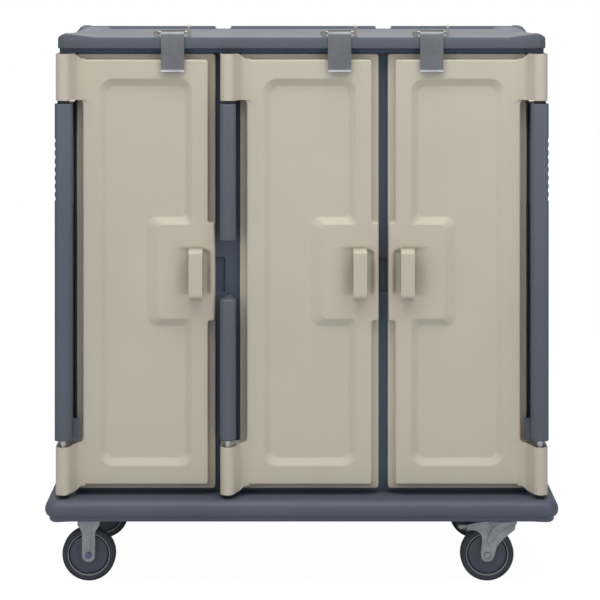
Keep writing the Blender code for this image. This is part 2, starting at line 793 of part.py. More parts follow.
def bar_section(hinge_x, width, web_near, web_far, web_back):
    """The plan of a post: a round-fronted bar on the hinge axis, with a web behind it."""
    half = width / 2
    front, back = ahead(BAR_FRONT), ahead(BAR_BACK)
    turn = front + BAR_ROUND
    left = arc(hinge_x - half + BAR_ROUND, turn, BAR_ROUND, 180, 270, 4)
    right = arc(hinge_x + half - BAR_ROUND, turn, BAR_ROUND, 270, 360, 4)
    root = ahead(-web_back)
    return left + right + [
        (hinge_x + half, back), (web_far, back), (web_far, root),
        (web_near, root), (web_near, back), (hinge_x - half, back),
    ]


def pin_bore(hinge_x, low, high):
    """The hole for a hinge pin on one hinge axis."""
    return rod(PIN_BORE, (hinge_x, HINGE_Y, low), (hinge_x, HINGE_Y, high))


def make_side_post(name, hinge_x, side):
    """A side post: it takes both hinge pins and is the push handle at that end."""
    inside = side * (BODY_WIDTH / 2 + GAP)
    outside = side * (BODY_WIDTH / 2 + SIDE_WEB_OUTSIDE)
    near, far = sorted((inside, outside))
    section = bar_section(hinge_x, SIDE_BAR_WIDTH, near, far, SIDE_WEB_BACK)
    post = part(name, prism(section, "Z", POST_BOTTOM, POST_TOP), SLATE)
    round_edges(post, BAR_END_ROUND, segments=1, angle=80)
    hole = round_corners(
        rectangle(
            ahead(BAR_BACK - SINK), ahead(BAR_BACK - SINK - HAND_HOLE_DEPTH),
            HAND_HOLE_BOTTOM, HAND_HOLE_TOP,
        ),
        HAND_HOLE_ROUND,
    )
    cut(post, prism(hole, "X", near - OVERRUN, far + OVERRUN))
    edge = hinge_x + side * (SIDE_BAR_WIDTH / 2 + SCALLOP_RADIUS - SCALLOP_DEPTH)
    scallops = []
    for index in range(SCALLOPS):
        height = HAND_HOLE_BOTTOM + SCALLOP_START + index * SCALLOP_PITCH
        start = (edge, ahead(BAR_FRONT + OVERRUN), height)
        end = (edge, ahead(BAR_BACK - OVERRUN), height)
        scallops.append(rod(SCALLOP_RADIUS, start, end, SMALL_SIDES))
    cut(post, merged(scallops))
    cut(post, pin_bore(hinge_x, POST_BOTTOM - OVERRUN, POST_BOTTOM + PIN_IN_POST + GAP))
    cut(post, pin_bore(hinge_x, POST_TOP - PIN_IN_POST - GAP * 4, POST_TOP + OVERRUN))


def make_middle_post(name, low, high, bore_low, bore_high):
    """One length of the middle post, which carries one pin of the middle door."""
    hinge_x = HINGE_XS[1]
    near = hinge_x - MIDDLE_WEB_WIDTH / 2
    section = bar_section(hinge_x, MIDDLE_BAR_WIDTH, near, near + MIDDLE_WEB_WIDTH, -GAP)
    post = part(name, prism(section, "Z", low, high), SLATE)
    round_edges(post, BAR_END_ROUND, segments=1, angle=80)
    cut(post, pin_bore(hinge_x, bore_low, bore_high))


def make_posts():
    """The four posts in front of the cabinet."""
    make_side_post("handle_post_left", HINGE_XS[0], -1)
    make_side_post("handle_post_right", HINGE_XS[2], 1)
    lower_top = DOOR_BOTTOM + MIDDLE_GAP_BOTTOM
    upper_bottom = lower_top + MIDDLE_GAP_HEIGHT
    make_middle_post(
        "middle_post_lower", POST_BOTTOM, lower_top,
        POST_BOTTOM - OVERRUN, POST_BOTTOM + PIN_IN_POST + GAP,
    )
    make_middle_post(
        "middle_post_upper", upper_bottom, POST_TOP,
        POST_TOP - PIN_IN_POST - GAP * 4, POST_TOP + OVERRUN,
    )


def bushing_ring(hinge_x, low, high):
    """A ring round a hinge pin, which the door turns on."""
    last = 360 - 360 / ROUND_SIDES
    outline = arc(hinge_x, HINGE_Y, BUSHING_DIAMETER / 2, 0, last, ROUND_SIDES - 1)
    hole = arc(hinge_x, HINGE_Y, PIN_BORE, 0, last, ROUND_SIDES - 1)
    return prism(outline, "Z", low, high, hole)


def make_hinges():
    """The hinge pins, each upper one with a collar, and a bushing under each door."""
    radius = PIN_DIAMETER / 2
    for name, x in zip(DOOR_NAMES, HINGE_XS):
        lower = rod(radius, (x, HINGE_Y, BODY_BOTTOM), (x, HINGE_Y, POST_BOTTOM + PIN_IN_POST))
        part("hinge_pin_{}_lower".format(name), lower, STEEL)
        start = (x, HINGE_Y, POST_TOP - PIN_IN_POST)
        upper = rod(radius, start, (x, HINGE_Y, UPPER_LUG_BOTTOM + PIN_IN_TOP_LUG))
        made = part("hinge_pin_{}_upper".format(name), upper, STEEL)
        collar_top = (x, HINGE_Y, COLLAR_BOTTOM + COLLAR_HEIGHT)
        fuse(made, rod(COLLAR_DIAMETER / 2, (x, HINGE_Y, COLLAR_BOTTOM), collar_top))
        bushing = bushing_ring(x, BODY_BOTTOM, BODY_BOTTOM + BUSHING_HEIGHT)
        part("hinge_bushing_" + name, bushing, BLACK)


def door_rectangle(side, near, far, low, high):
    """The corners of a rectangle on a door, from a span away from its hinge."""
    return rectangle(side * near, side * far, low, high)


def face_outline(side):
    """The front of a door's raised face, with the tab behind its handle."""
    low, high = DOOR_BOTTOM + FACE_BOTTOM, DOOR_TOP - FACE_TOP_INSET
    tab_low = DOOR_BOTTOM + TAB_BOTTOM
    tab_high = tab_low + TAB_HEIGHT
    corners = [
        (FACE_NEAR, low), (FACE_FAR, low), (FACE_FAR, tab_low), (FLANGE_FAR, tab_low),
        (FLANGE_FAR, tab_high), (FACE_FAR, tab_high), (FACE_FAR, high), (FACE_NEAR, high),
    ]
    return round_corners([(side * across, up) for across, up in corners], DOOR_CORNER)


def lug_section(side):
    """The plan of a hinge lug: round about the pin, then a straight slope to the face."""
    face = FACE_FRONT - HINGE_AHEAD
    to_face = math.hypot(LUG_FACE_JOIN, face)
    tangent = math.acos(LUG_RADIUS / to_face) + math.atan2(face, LUG_FACE_JOIN)
    points = arc(0, 0, LUG_RADIUS, 180, math.degrees(tangent), LUG_STEPS)
    back = LUG_BACK - HINGE_AHEAD
    points += [
        (LUG_FACE_JOIN, face), (LUG_FACE_JOIN + LUG_SUNK, face - LUG_SUNK),
        (LUG_INSIDE, face - LUG_SUNK), (LUG_INSIDE, back), (-LUG_RADIUS, back),
    ]
    return [(side * across, -forward) for across, forward in points]


def sunk_shape(side, depths, outlines):
    """A cutter for a sunk panel, from outlines that each lie at a distance ahead."""
    sections = []
    for depth, outline in zip(depths, outlines):
        y = behind_hinge(depth)
        sections.append([(side * across, y, up) for across, up in outline])
    return loft(sections)


def panel_outline(inset, pad_slope, corner, pad_corner):
    """The sunk panel of a door, which goes round the raised pad behind the handle.

    The inset is 0 at the face and 1 at the floor of the panel.
    """
    edge = PANEL_SLOPE * inset
    low = DOOR_BOTTOM + PANEL_BOTTOM
    near, far = PANEL_NEAR + edge, PANEL_FAR - edge
    high = low + PANEL_HEIGHT - edge
    low += edge
    pad_near = PAD_NEAR + pad_slope * (1 - inset)
    pad_low = DOOR_BOTTOM + PAD_BOTTOM + PANEL_SLOPE * (1 - inset)
    pad_high = DOOR_BOTTOM + PAD_BOTTOM + PAD_HEIGHT - PANEL_SLOPE * (1 - inset)
    corners = [
        (near, low), (far, low), (far, pad_low), (pad_near, pad_low),
        (pad_near, pad_high), (far, pad_high), (far, high), (near, high),
    ]
    radii = [corner, corner, corner, pad_corner, pad_corner, corner, corner, corner]
    return round_corners(corners, radii)


def well_outline(inset, corner):
    """The shallow well under the handle, drawn in by an inset."""
    low = DOOR_BOTTOM + WELL_BOTTOM
    corners = rectangle(
        WELL_NEAR + inset, WELL_FAR - inset, low + inset, low + WELL_HEIGHT - inset
    )
    return round_corners(corners, corner)


def make_door_shell(name, side, carrier):
    """A door's outer shell: flange, raised face with its tab, and two hinge lugs."""
    low, high = DOOR_BOTTOM + FLANGE_END_INSET, DOOR_TOP - FLANGE_END_INSET
    corners = door_rectangle(side, FLANGE_NEAR, FLANGE_FAR, low, high)
    back, front = behind_hinge(FLANGE_BACK), behind_hinge(FLANGE_FRONT)
    flange = prism(round_corners(corners, DOOR_CORNER), "Y", front, back)
    shell = part("door_{}_shell".format(name), flange, BEIGE, carrier)
    round_edges(shell, FLANGE_ROUND, segments=1)
    face = prism(face_outline(side), "Y", behind_hinge(FACE_FRONT), front + SINK + FLANGE_ROUND)
    fuse(shell, face, FACE_ROUND)
    for bottom, top in ((DOOR_BOTTOM, LOWER_LUG_TOP), (UPPER_LUG_BOTTOM, DOOR_TOP)):
        fuse(shell, prism(lug_section(side), "Z", bottom, top), LUG_ROUND)
    panel = sunk_shape(
        side,
        (FACE_FRONT + OVERRUN, FACE_FRONT, FACE_FRONT - PANEL_DEPTH),
        (
            panel_outline(0, PAD_SLOPE_NEAR, PANEL_CORNER, PAD_CORNER),
            panel_outline(0, PAD_SLOPE_NEAR, PANEL_CORNER, PAD_CORNER),
            panel_outline(1, PAD_SLOPE_NEAR, PANEL_FLOOR_CORNER, PAD_FLOOR_CORNER),
        ),
    )
    cut(shell, panel)
    well = sunk_shape(
        side,
        (FACE_FRONT + OVERRUN, FACE_FRONT, FACE_FRONT - WELL_DEPTH),
        (
            well_outline(0, WELL_CORNER),
            well_outline(0, WELL_CORNER),
            well_outline(WELL_SLOPE, WELL_FLOOR_CORNER),
        ),
    )
    cut(shell, well)
    bore_top = UPPER_LUG_BOTTOM + PIN_IN_TOP_LUG + GAP * 4
    for bottom, top in (
        (DOOR_BOTTOM - OVERRUN, LOWER_LUG_TOP + OVERRUN),
        (UPPER_LUG_BOTTOM - OVERRUN, bore_top),
    ):
        cut(shell, rod(PIN_BORE, (0, 0, bottom), (0, 0, top)))


def lining_corners(side, grow):
    """The compartment's opening, as seen from the hinge axis, made larger all round."""
    near = HINGE_TO_OPENING - grow
    far = HINGE_TO_OPENING + COMPARTMENT_WIDTH + grow
    return door_rectangle(side, near, far, OPENING_BOTTOM - grow, OPENING_TOP + grow)


def make_door_lining(name, side, carrier):
    """The inner liner that plugs the opening, and the gasket round it."""
    front = behind_hinge(FLANGE_BACK - GAP)
    outline = round_corners(lining_corners(side, -LINER_CLEARANCE), LINER_CORNER)
    liner = prism(outline, "Y", front, front + LINER_DEPTH)
    made = part("door_{}_liner".format(name), liner, LINER_BEIGE, carrier)
    round_edges(made, LINER_ROUND, segments=1)
    outside = round_corners(lining_corners(side, GASKET_OVERLAP), GASKET_CORNER)
    inside = round_corners(lining_corners(side, GAP - LINER_CLEARANCE), LINER_CORNER)
    gasket = prism(outside, "Y", front, behind_hinge(GAP), inside)
    part("door_{}_gasket".format(name), gasket, GASKET_GREY, carrier)


def make_handle(name, side, carrier):
    """A door's pull handle: a bar on two feet that stand on the floor of the well."""
    foot, inner = FACE_FRONT - WELL_DEPTH + GAP, HANDLE_FRONT - HANDLE_BAR
    outer_low = DOOR_BOTTOM + WELL_BOTTOM + WELL_SLOPE + HANDLE_FROM_SLOPE
    outer_high = outer_low + WELL_HEIGHT - 2 * (WELL_SLOPE + HANDLE_FROM_SLOPE)
    low, high = outer_low + HANDLE_FOOT, outer_high - HANDLE_FOOT
    corners = [
        (foot, outer_low), (HANDLE_FRONT, outer_low + HANDLE_DRAFT),
        (HANDLE_FRONT, outer_high - HANDLE_DRAFT), (foot, outer_high),
        (foot, high), (inner, high - HANDLE_SLANT), (inner, low + HANDLE_SLANT), (foot, low),
    ]
    radii = [0, HANDLE_CORNER, HANDLE_CORNER, 0, 0, HANDLE_INSIDE_CORNER, HANDLE_INSIDE_CORNER, 0]
    outline = round_corners([(behind_hinge(forward), up) for forward, up in corners], radii)
    near, far = sorted(
        side * (HANDLE_CENTRE + edge) for edge in (-HANDLE_WIDTH / 2, HANDLE_WIDTH / 2)
    )
    made = part("door_{}_handle".format(name), prism(outline, "X", near, far), BEIGE, carrier)
    round_edges(made, HANDLE_ROUND)


def make_door(name, hinge_x, side):
    """One door on its hinge axis: shell, liner, gasket and handle."""
    carrier = pivot("door_{}_hinge".format(name), (hinge_x, HINGE_Y, 0))
    make_door_shell(name, side, carrier)
    make_door_lining(name, side, carrier)
    make_handle(name, side, carrier)


def latch_xs():
    """Where the middle of each roof latch lies across the cart."""
    placed = zip(HINGE_XS, DOOR_SIDES, LATCH_FROM_HINGES)
    return [hinge_x + side * distance for hinge_x, side, distance in placed]


def make_latch_bracket(name, x):
    """A bracket on the roof: a strip with an ear and an eye, and the rod riveted between them."""
    strip_bottom = ROOF_TOP + GAP
    strip_top = strip_bottom + STRIP_SHEET
    corners = rectangle(
        x - STRIP_WIDTH / 2, x + STRIP_WIDTH / 2,
        ahead(STRIP_AHEAD), ahead(STRIP_AHEAD - STRIP_LENGTH),
    )
    strip = prism(round_corners(corners, STRIP_CORNER), "Z", strip_bottom, strip_top)
    bracket = part("latch_bracket_" + name, strip, STEEL)
    rod_y = ahead(ROD_AHEAD)
    ear_top = ROOF_TOP + EAR_RISE
    corners = rectangle(
        rod_y - EAR_LENGTH / 2, rod_y + EAR_LENGTH / 2, strip_bottom + STRIP_SHEET / 2, ear_top
    )
    ear = round_corners(corners, [0, 0, EAR_ROUND, EAR_ROUND])
    ear_x = x + EAR_X
    fuse(bracket, prism(ear, "X", ear_x - EAR_THICKNESS / 2, ear_x + EAR_THICKNESS / 2))
    eye_x = x - EAR_X
    eye_z = strip_bottom + (EYE_DIAMETER + STRIP_SHEET) / 2
    eye = rod(
        EYE_DIAMETER / 2, (eye_x, rod_y - EYE_THICKNESS / 2, eye_z),
        (eye_x, rod_y + EYE_THICKNESS / 2, eye_z),
    )
    fuse(bracket, eye)
    end = (ear_x + EAR_THICKNESS / 2 + ROD_SHOWN, rod_y, ROD_Z)
    fuse(bracket, rod(ROD_DIAMETER / 2, (eye_x, rod_y, ROD_Z), end, SMALL_SIDES))


def flap_outline():
    """The section of a latch flap: a knuckle round the rod, a strap and a hanging plate."""
    strap_top = FLAP_SHEET - KNUCKLE_RADIUS
    first = math.degrees(math.asin(strap_top / KNUCKLE_RADIUS))
    knuckle = arc(0, 0, KNUCKLE_RADIUS, first, 270, 14)
    front = FLAP_AHEAD + FLAP_SHEET
    strap = [
        (FLAP_AHEAD, -KNUCKLE_RADIUS), (FLAP_AHEAD, -FLAP_LENGTH),
        (FLAP_AHEAD + LIP_OUT, -FLAP_LENGTH - LIP_DROP),
        (front + LIP_OUT, -FLAP_LENGTH - LIP_DROP + FLAP_SHEET / 2),
        (front, -FLAP_LENGTH + FLAP_SHEET / 2),
    ]
    bend = arc(front - FLAP_BEND, strap_top - FLAP_BEND, FLAP_BEND, 0, 90, CORNER_STEPS)
    return [(-forward, up) for forward, up in knuckle + strap + bend]


def make_latch_flap(name, x):
    """A latch flap, which hangs in front of its door and swings up over the roof."""
    carrier = pivot("latch_hinge_" + name, (x, ahead(ROD_AHEAD), ROD_Z))
    step = 360 / SMALL_SIDES
    hole = arc(0, 0, ROD_DIAMETER / 2 + ROD_CLEARANCE, 0, 360 - step, SMALL_SIDES - 1)
    flap = prism(flap_outline(), "X", -FLAP_WIDTH / 2, FLAP_WIDTH / 2, hole)
    part("latch_flap_" + name, flap, STEEL, carrier)


def make_latches():
    """Three roof latches, one over each door."""
    for name, x in zip(DOOR_NAMES, latch_xs()):
        make_latch_bracket(name, x)
        make_latch_flap(name, x)


def make_wheel(name, x, y, parent, parent_place):
    """One caster wheel on its axle: a tyre and a core that turn, and the axle bolt."""
    place = (x - parent_place[0], y - parent_place[1], AXLE_Z - parent_place[2])
    carrier = pivot("wheel_axis_" + name, place, parent)
    outer, half = WHEEL_DIAMETER / 2, WHEEL_WIDTH / 2
    inner = outer - TYRE_DEPTH
    corner = outer - WHEEL_CORNER
    tread = arc(corner, half - WHEEL_CORNER, WHEEL_CORNER, 90, 0, TREAD_STEPS)
    under = [(radius, -height) for radius, height in reversed(tread)]
    shoulder = inner + RING_STEP
    tyre = [(inner, half - RING_DEPTH), (shoulder, half - RING_DEPTH)]
    tyre += [(shoulder, half)] + tread + under
    tyre += [(shoulder, -half), (shoulder, RING_DEPTH - half), (inner, RING_DEPTH - half)]
    turned("wheel_tyre_" + name, tyre, TYRE_GREY, carrier)
    rim, face = inner - GAP, half - RING_DEPTH
    side = [
        (AXLE_DIAMETER / 2 + BORE_CLEARANCE, HUB_WIDTH / 2), (HUB_RADIUS, HUB_WIDTH / 2),
        (HUB_RADIUS, face - CORE_RECESS), (rim - CORE_RIM, face - CORE_RECESS),
        (rim - CORE_RIM, face), (rim, face),
    ]
    core = side + [(radius, -height) for radius, height in reversed(side)]
    turned("wheel_core_" + name, core, CORE_GREY, carrier)
    shank, head = AXLE_DIAMETER / 2, AXLE_HEAD_DIAMETER / 2
    seat = FORK_INSIDE / 2 + FORK_SHEET + GAP
    end = seat + AXLE_HEAD_HEIGHT
    axle = [(0, end), (head, end), (head, seat), (shank, seat)]
    axle += [(radius, -height) for radius, height in reversed(axle)]
    fixed = pivot("axle_place_" + name, place, parent)
    turned("wheel_axle_" + name, axle, STEEL, fixed, closed=False, steps=SMALL_SIDES)


def bolted_plate(name, x, y, width, length):
    """A caster's top plate, with its four bolt holes."""
    corners = rectangle(x - width / 2, x + width / 2, y - length / 2, y + length / 2)
    outline = round_corners(corners, PLATE_CORNER)
    plate = part(name, prism(outline, "Z", PLATE_BOTTOM, PLATE_TOP), ZINC)
    across = width / 2 - BOLT_FROM_PLATE_EDGE
    along = length / 2 - BOLT_FROM_PLATE_EDGE
    holes = []
    for hole_x in (x - across, x + across):
        for hole_y in (y - along, y + along):
            start = (hole_x, hole_y, PLATE_BOTTOM - OVERRUN)
            end = (hole_x, hole_y, PLATE_TOP + OVERRUN)
            holes.append(rod(BOLT_DIAMETER / 2 + BORE_CLEARANCE, start, end, SMALL_SIDES))
    cut(plate, merged(holes))
    return plate


def fork_block(outline, y):
    """The side of a fork as one block, as wide as both its legs and the space between."""
    outside = FORK_INSIDE / 2 + FORK_SHEET
    return prism(outline, "Y", y - outside, y + outside)


def wheel_space(x, y, top):
    """The space between a fork's legs."""
    low = (x - WHEEL_DIAMETER, y - FORK_INSIDE / 2, 0)
    return box(low, (x + WHEEL_DIAMETER, y + FORK_INSIDE / 2, top))


def axle_hole(x, y):
    """The hole through both legs of a fork for the axle."""
    reach = FORK_INSIDE / 2 + FORK_SHEET + OVERRUN
    radius = AXLE_DIAMETER / 2 + BORE_CLEARANCE
    return rod(radius, (x, y - reach, AXLE_Z), (x, y + reach, AXLE_Z))


def make_rigid_caster(name, y):
    """A caster that doesn't swivel: a plate with its fork welded on, and a wheel."""
    x = -CASTER_X
    frame = bolted_plate("caster_frame_" + name, x, y, RIGID_PLATE_WIDTH, RIGID_PLATE_LENGTH)
    leg, shoulder = FORK_LEG_WIDTH / 2, FORK_SHOULDER_WIDTH / 2 - FORK_INSET
    top = PLATE_BOTTOM + PLATE_THICKNESS / 2
    outline = arc(x, AXLE_Z, leg, 180, 360, END_STEPS) + [
        (x + leg, FORK_NECK_HEIGHT), (x + shoulder, FORK_SHOULDER_HEIGHT), (x + shoulder, top),
        (x - shoulder, top), (x - shoulder, FORK_SHOULDER_HEIGHT), (x - leg, FORK_NECK_HEIGHT),
    ]
    fuse(frame, fork_block(outline, y))
    cut(frame, wheel_space(x, y, PLATE_BOTTOM - FORK_CROWN))
    cut(frame, axle_hole(x, y))
    make_wheel(name, x, y, None, (0, 0, 0))


def swivel_leg():
    """The side of a swivel fork, about the kingpin's axis."""
    points = arc(0, 0, LEG_END_RADIUS, 180, 360, END_STEPS)
    top = CROWN_BOTTOM + SINK - AXLE_Z
    crown_half = CROWN_DIAMETER / 2
    points += [
        (LEG_BEND_X, LEG_BEND_Z), (LEG_CROWN_X, LEG_CROWN_Z), (TRAIL + crown_half, top),
        (TRAIL - crown_half, top), (-LEG_ARM_TOP_X, CROWN_BOTTOM - AXLE_Z),
        (-LEG_ARM_X, LEG_ARM_HIGH_Z), (-LEG_ARM_X, LEG_ARM_LOW_Z),
        (-LEG_ELBOW_X, LEG_ARM_LOW_Z), (-LEG_INNER_X, LEG_INNER_Z),
    ]
    return [(across - TRAIL, up + AXLE_Z) for across, up in points]


def pedal_outline():
    """The side of a brake pedal about its pin, with ribs across its tread."""
    eye = arc(0, 0, PEDAL_EYE, -60, 60, 4)
    tread = []
    span = (PEDAL_TREAD_FAR - PEDAL_TREAD_NEAR) / PEDAL_RIBS
    for rib in range(PEDAL_RIBS):
        start = -PEDAL_TREAD_NEAR - rib * span
        tread += [(start, PEDAL_TREAD_Z), (start - span / 2, PEDAL_TREAD_Z + PEDAL_RIB)]
    end = [
        (-PEDAL_TREAD_FAR, PEDAL_TREAD_Z), (-PEDAL_TREAD_FAR, PEDAL_TOE_Z),
        (-PEDAL_HEEL_X, -PEDAL_HEEL_Z), (-PEDAL_HEEL_X + PEDAL_EYE, -PEDAL_HEEL_Z),
    ]
    return eye + [(-PEDAL_NECK, PEDAL_NECK_HALF)] + tread + end + [(-PEDAL_NECK, -PEDAL_NECK_HALF)]


def make_swivel_caster(name, y):
    """A swivel caster with a brake pedal, its wheel trailing behind the kingpin."""
    x = KINGPIN_X
    plate = bolted_plate("caster_plate_" + name, x, y, SWIVEL_PLATE_WIDTH, SWIVEL_PLATE_LENGTH)
    raceway, pin = RACEWAY_DIAMETER / 2, KINGPIN_DIAMETER / 2
    sunk = PLATE_BOTTOM + PLATE_THICKNESS / 2
    profile = [
        (0, CROWN_BOTTOM), (pin, CROWN_BOTTOM), (pin, RACEWAY_BOTTOM), (raceway, RACEWAY_BOTTOM),
        (raceway, sunk), (0, sunk),
    ]
    fuse(plate, spun(profile, x, y, ROUND_SIDES))
    carrier = pivot("swivel_axis_" + name, (x, y, 0))
    fork = part("caster_fork_" + name, fork_block(swivel_leg(), 0), ZINC, carrier)
    cut(fork, wheel_space(-TRAIL, 0, CROWN_TOP))
    crown = CROWN_DIAMETER / 2
    disc = [
        (0, CROWN_BOTTOM), (crown, CROWN_BOTTOM), (crown, CROWN_TOP - CROWN_CORNER),
        (crown - CROWN_CORNER, CROWN_TOP), (0, CROWN_TOP),
    ]
    fuse(fork, spun(disc, 0, 0, ROUND_SIDES))
    cut(fork, axle_hole(-TRAIL, 0))
    top = (0, 0, CROWN_TOP + OVERRUN)
    cut(fork, rod(pin + BORE_CLEARANCE, (0, 0, CROWN_BOTTOM - OVERRUN), top))
    pedal_x = -TRAIL - PEDAL_PIVOT_X
    pedal_z = AXLE_Z + PEDAL_PIVOT_Z
    outside = FORK_INSIDE / 2 + FORK_SHEET
    reach = outside + OVERRUN
    pin_hole = rod(
        PEDAL_PIN_RADIUS + BORE_CLEARANCE, (pedal_x, -reach, pedal_z),
        (pedal_x, reach, pedal_z), SMALL_SIDES,
    )
    cut(fork, pin_hole)
    pedal_carrier = pivot("pedal_axis_" + name, (pedal_x, 0, pedal_z), carrier)
    pedal = prism(pedal_outline(), "Y", -PEDAL_WIDTH / 2, PEDAL_WIDTH / 2)
    made = part("brake_pedal_" + name, pedal, ZINC, pedal_carrier)
    fuse(made, rod(PEDAL_PIN_RADIUS, (0, -outside, 0), (0, outside, 0), SMALL_SIDES))
    make_wheel(name, x - TRAIL, y, carrier, (x, y, 0))


def make_casters():
    """Two rigid casters at the left end and two swivel casters at the right."""
    for name, y in (("front", -CASTER_Y), ("back", CASTER_Y)):
        make_rigid_caster("left_" + name, y)
        make_swivel_caster("right_" + name, y)


def main():
    """Make every part of the cart."""
    make_base()
    make_cabinet()
    make_roof()
    make_tray_slides()
    make_posts()
    make_hinges()
    for name, hinge_x, side in zip(DOOR_NAMES, HINGE_XS, DOOR_SIDES):
        make_door(name, hinge_x, side)
    make_latches()
    make_casters()


main()
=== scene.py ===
# %% [markdown]
# # A tray delivery cart, dressed for its picture
# The cart's solids are packed already: they say where every piece sits and how it moves.
# This script gives each visible piece its finished surface. It loads the solids as a fixed
# frame, builds smoother surfaces over those that show, and paints them with procedural
# materials.

import json
import math

import bmesh
import bpy
import numpy as np
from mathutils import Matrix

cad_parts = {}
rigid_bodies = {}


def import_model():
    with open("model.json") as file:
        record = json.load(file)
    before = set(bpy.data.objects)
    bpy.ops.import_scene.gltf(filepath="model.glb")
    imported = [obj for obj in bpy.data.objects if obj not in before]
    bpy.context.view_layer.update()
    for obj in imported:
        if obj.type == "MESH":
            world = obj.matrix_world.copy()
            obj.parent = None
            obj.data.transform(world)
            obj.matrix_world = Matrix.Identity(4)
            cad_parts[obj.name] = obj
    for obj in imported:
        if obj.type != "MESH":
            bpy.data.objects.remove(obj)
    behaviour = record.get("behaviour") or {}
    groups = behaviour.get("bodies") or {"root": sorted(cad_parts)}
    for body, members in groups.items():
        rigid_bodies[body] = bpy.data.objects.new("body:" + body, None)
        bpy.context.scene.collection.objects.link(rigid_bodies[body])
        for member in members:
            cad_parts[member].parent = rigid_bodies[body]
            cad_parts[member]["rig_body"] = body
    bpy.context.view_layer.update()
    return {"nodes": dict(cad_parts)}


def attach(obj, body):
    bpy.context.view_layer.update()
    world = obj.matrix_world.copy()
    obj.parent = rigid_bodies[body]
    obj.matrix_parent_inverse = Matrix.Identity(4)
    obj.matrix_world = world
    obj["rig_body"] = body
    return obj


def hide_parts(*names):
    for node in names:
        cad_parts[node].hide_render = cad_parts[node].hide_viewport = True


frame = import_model()

# %% [markdown]
# ## The camera
# The photograph was taken straight on, with a long lens well above the middle of the cart:
# both ends of the roof show and no side does. A camera that looks level along +Y, with the
# picture shifted down instead of the camera tilted, keeps the cart's upright lines upright.

# %% Place the camera
EYE = (0.0, -6.589, 1.783)
LENS = 133.6
SENSOR = 36.0
SHIFT = (-0.0028, -0.5755)


def place_camera():
    """A level camera that looks along +Y, with the picture's centre shifted."""
    data = bpy.data.cameras.new("studio_camera")
    data.lens = LENS
    data.sensor_width = SENSOR
    data.shift_x, data.shift_y = SHIFT
    camera = bpy.data.objects.new("studio_camera", data)
    camera.location = EYE
    camera.rotation_euler = (math.radians(90), 0, 0)
    bpy.context.scene.collection.objects.link(camera)
    bpy.context.scene.camera = camera


place_camera()
print("camera at", EYE, "with a lens of", LENS, "mm")

# %% [markdown]
# ## Shader sums as Python sums
# A procedural material is mostly arithmetic on patterns. A small class wraps a node's
# socket and gives it Python's operators, so a sum written in Python adds its Math nodes.
# One method adds every other node: its settings go in first, then its sockets.

# %% Wrap sockets and trees


class Wire:
    """A socket that can stand in a Python sum."""

    def __init__(self, tree, socket):
        self.tree = tree
        self.socket = socket

    def sum(self, operation, left, right):
        math_node = self.tree.node("ShaderNodeMath", {"operation": operation}, {0: left, 1: right})
        return math_node.out(0)

    def __add__(self, other):
        return self.sum("ADD", self, other)

    def __radd__(self, other):
        return self.sum("ADD", other, self)

    def __sub__(self, other):
        return self.sum("SUBTRACT", self, other)

    def __rsub__(self, other):
        return self.sum("SUBTRACT", other, self)

    def __mul__(self, other):
        return self.sum("MULTIPLY", self, other)

    def __rmul__(self, other):
        return self.sum("MULTIPLY", other, self)


class Made:
    """A node that was added, whose outputs are read as wires."""

    def __init__(self, tree, node):
        self.tree = tree
        self.node = node

    def out(self, name):
        return Wire(self.tree, self.node.outputs[name])


class Tree:
    """A material's node tree."""

    def __init__(self, material):
        self.nodes = material.node_tree.nodes
        self.links = material.node_tree.links

    def fill(self, node, sockets):
        """Set or link a node's sockets by their names or numbers."""
        for name, value in sockets.items():
            if isinstance(value, Wire):
                self.links.new(value.socket, node.inputs[name])
            else:
                node.inputs[name].default_value = value

    def node(self, kind, settings=None, sockets=None):
        """Add a node: its settings first, then the values or links of its sockets."""
        node = self.nodes.new(kind)
        for name, value in (settings or {}).items():
            setattr(node, name, value)
        self.fill(node, sockets or {})
        return Made(self, node)


print("shader helpers ready")

# %% [markdown]
# ## Patterns that follow the piece
# Every pattern reads Object coordinates. The pieces sit at the origin, unturned, so these
# are plain metres on the cart, and a pattern keeps its real size and stays on its piece
# when a door swings.

# %% Define the patterns


def linear(colour):
    """Turn a colour picked from a screen into the linear light that a shader takes."""
    shares = np.asarray(colour, dtype=float) / 255
    low = shares / 12.92
    high = ((shares + 0.055) / 1.055) ** 2.4
    return tuple(np.where(shares <= 0.04045, low, high)) + (1.0,)


def noise(tree, scale, detail=2.0, stretch=(1, 1, 1), roughness=0.5):
    """Soft noise of so many bumps a metre, stretched along an axis if wanted."""
    place = tree.node("ShaderNodeTexCoord").out("Object")
    placed = tree.node("ShaderNodeMapping", {}, {"Vector": place, "Scale": stretch})
    made = tree.node(
        "ShaderNodeTexNoise", {"noise_dimensions": "3D"},
        {"Vector": placed.out("Vector"), "Scale": scale, "Detail": detail, "Roughness": roughness},
    )
    return made.out("Fac")


def blend(tree, share, first, second):
    """Mix two colours by a share."""
    made = tree.node(
        "ShaderNodeMix", {"data_type": "RGBA"}, {"Factor": share, 6: first, 7: second}
    )
    return made.out(2)


def bump(tree, height, depth, strength=1.0, below=None):
    """Raise a surface by a pattern, by so many metres at the pattern's full height."""
    sockets = {"Height": height, "Distance": depth, "Strength": strength}
    if below is not None:
        sockets["Normal"] = below
    return tree.node("ShaderNodeBump", {}, sockets).out("Normal")


def ramp(tree, value, low, high):
    """Stretch the part of a pattern from low to high over 0 to 1."""
    made = tree.node(
        "ShaderNodeMapRange", {"interpolation_type": "SMOOTHSTEP"},
        {"Value": value, "From Min": low, "From Max": high},
    )
    return made.out("Result")


def new_material(name):
    """A material with its tree wrapped and its Principled shader at hand."""
    material = bpy.data.materials.new(name)
    material.use_nodes = True
    return material, Tree(material), material.node_tree.nodes["Principled BSDF"]


print("patterns ready")

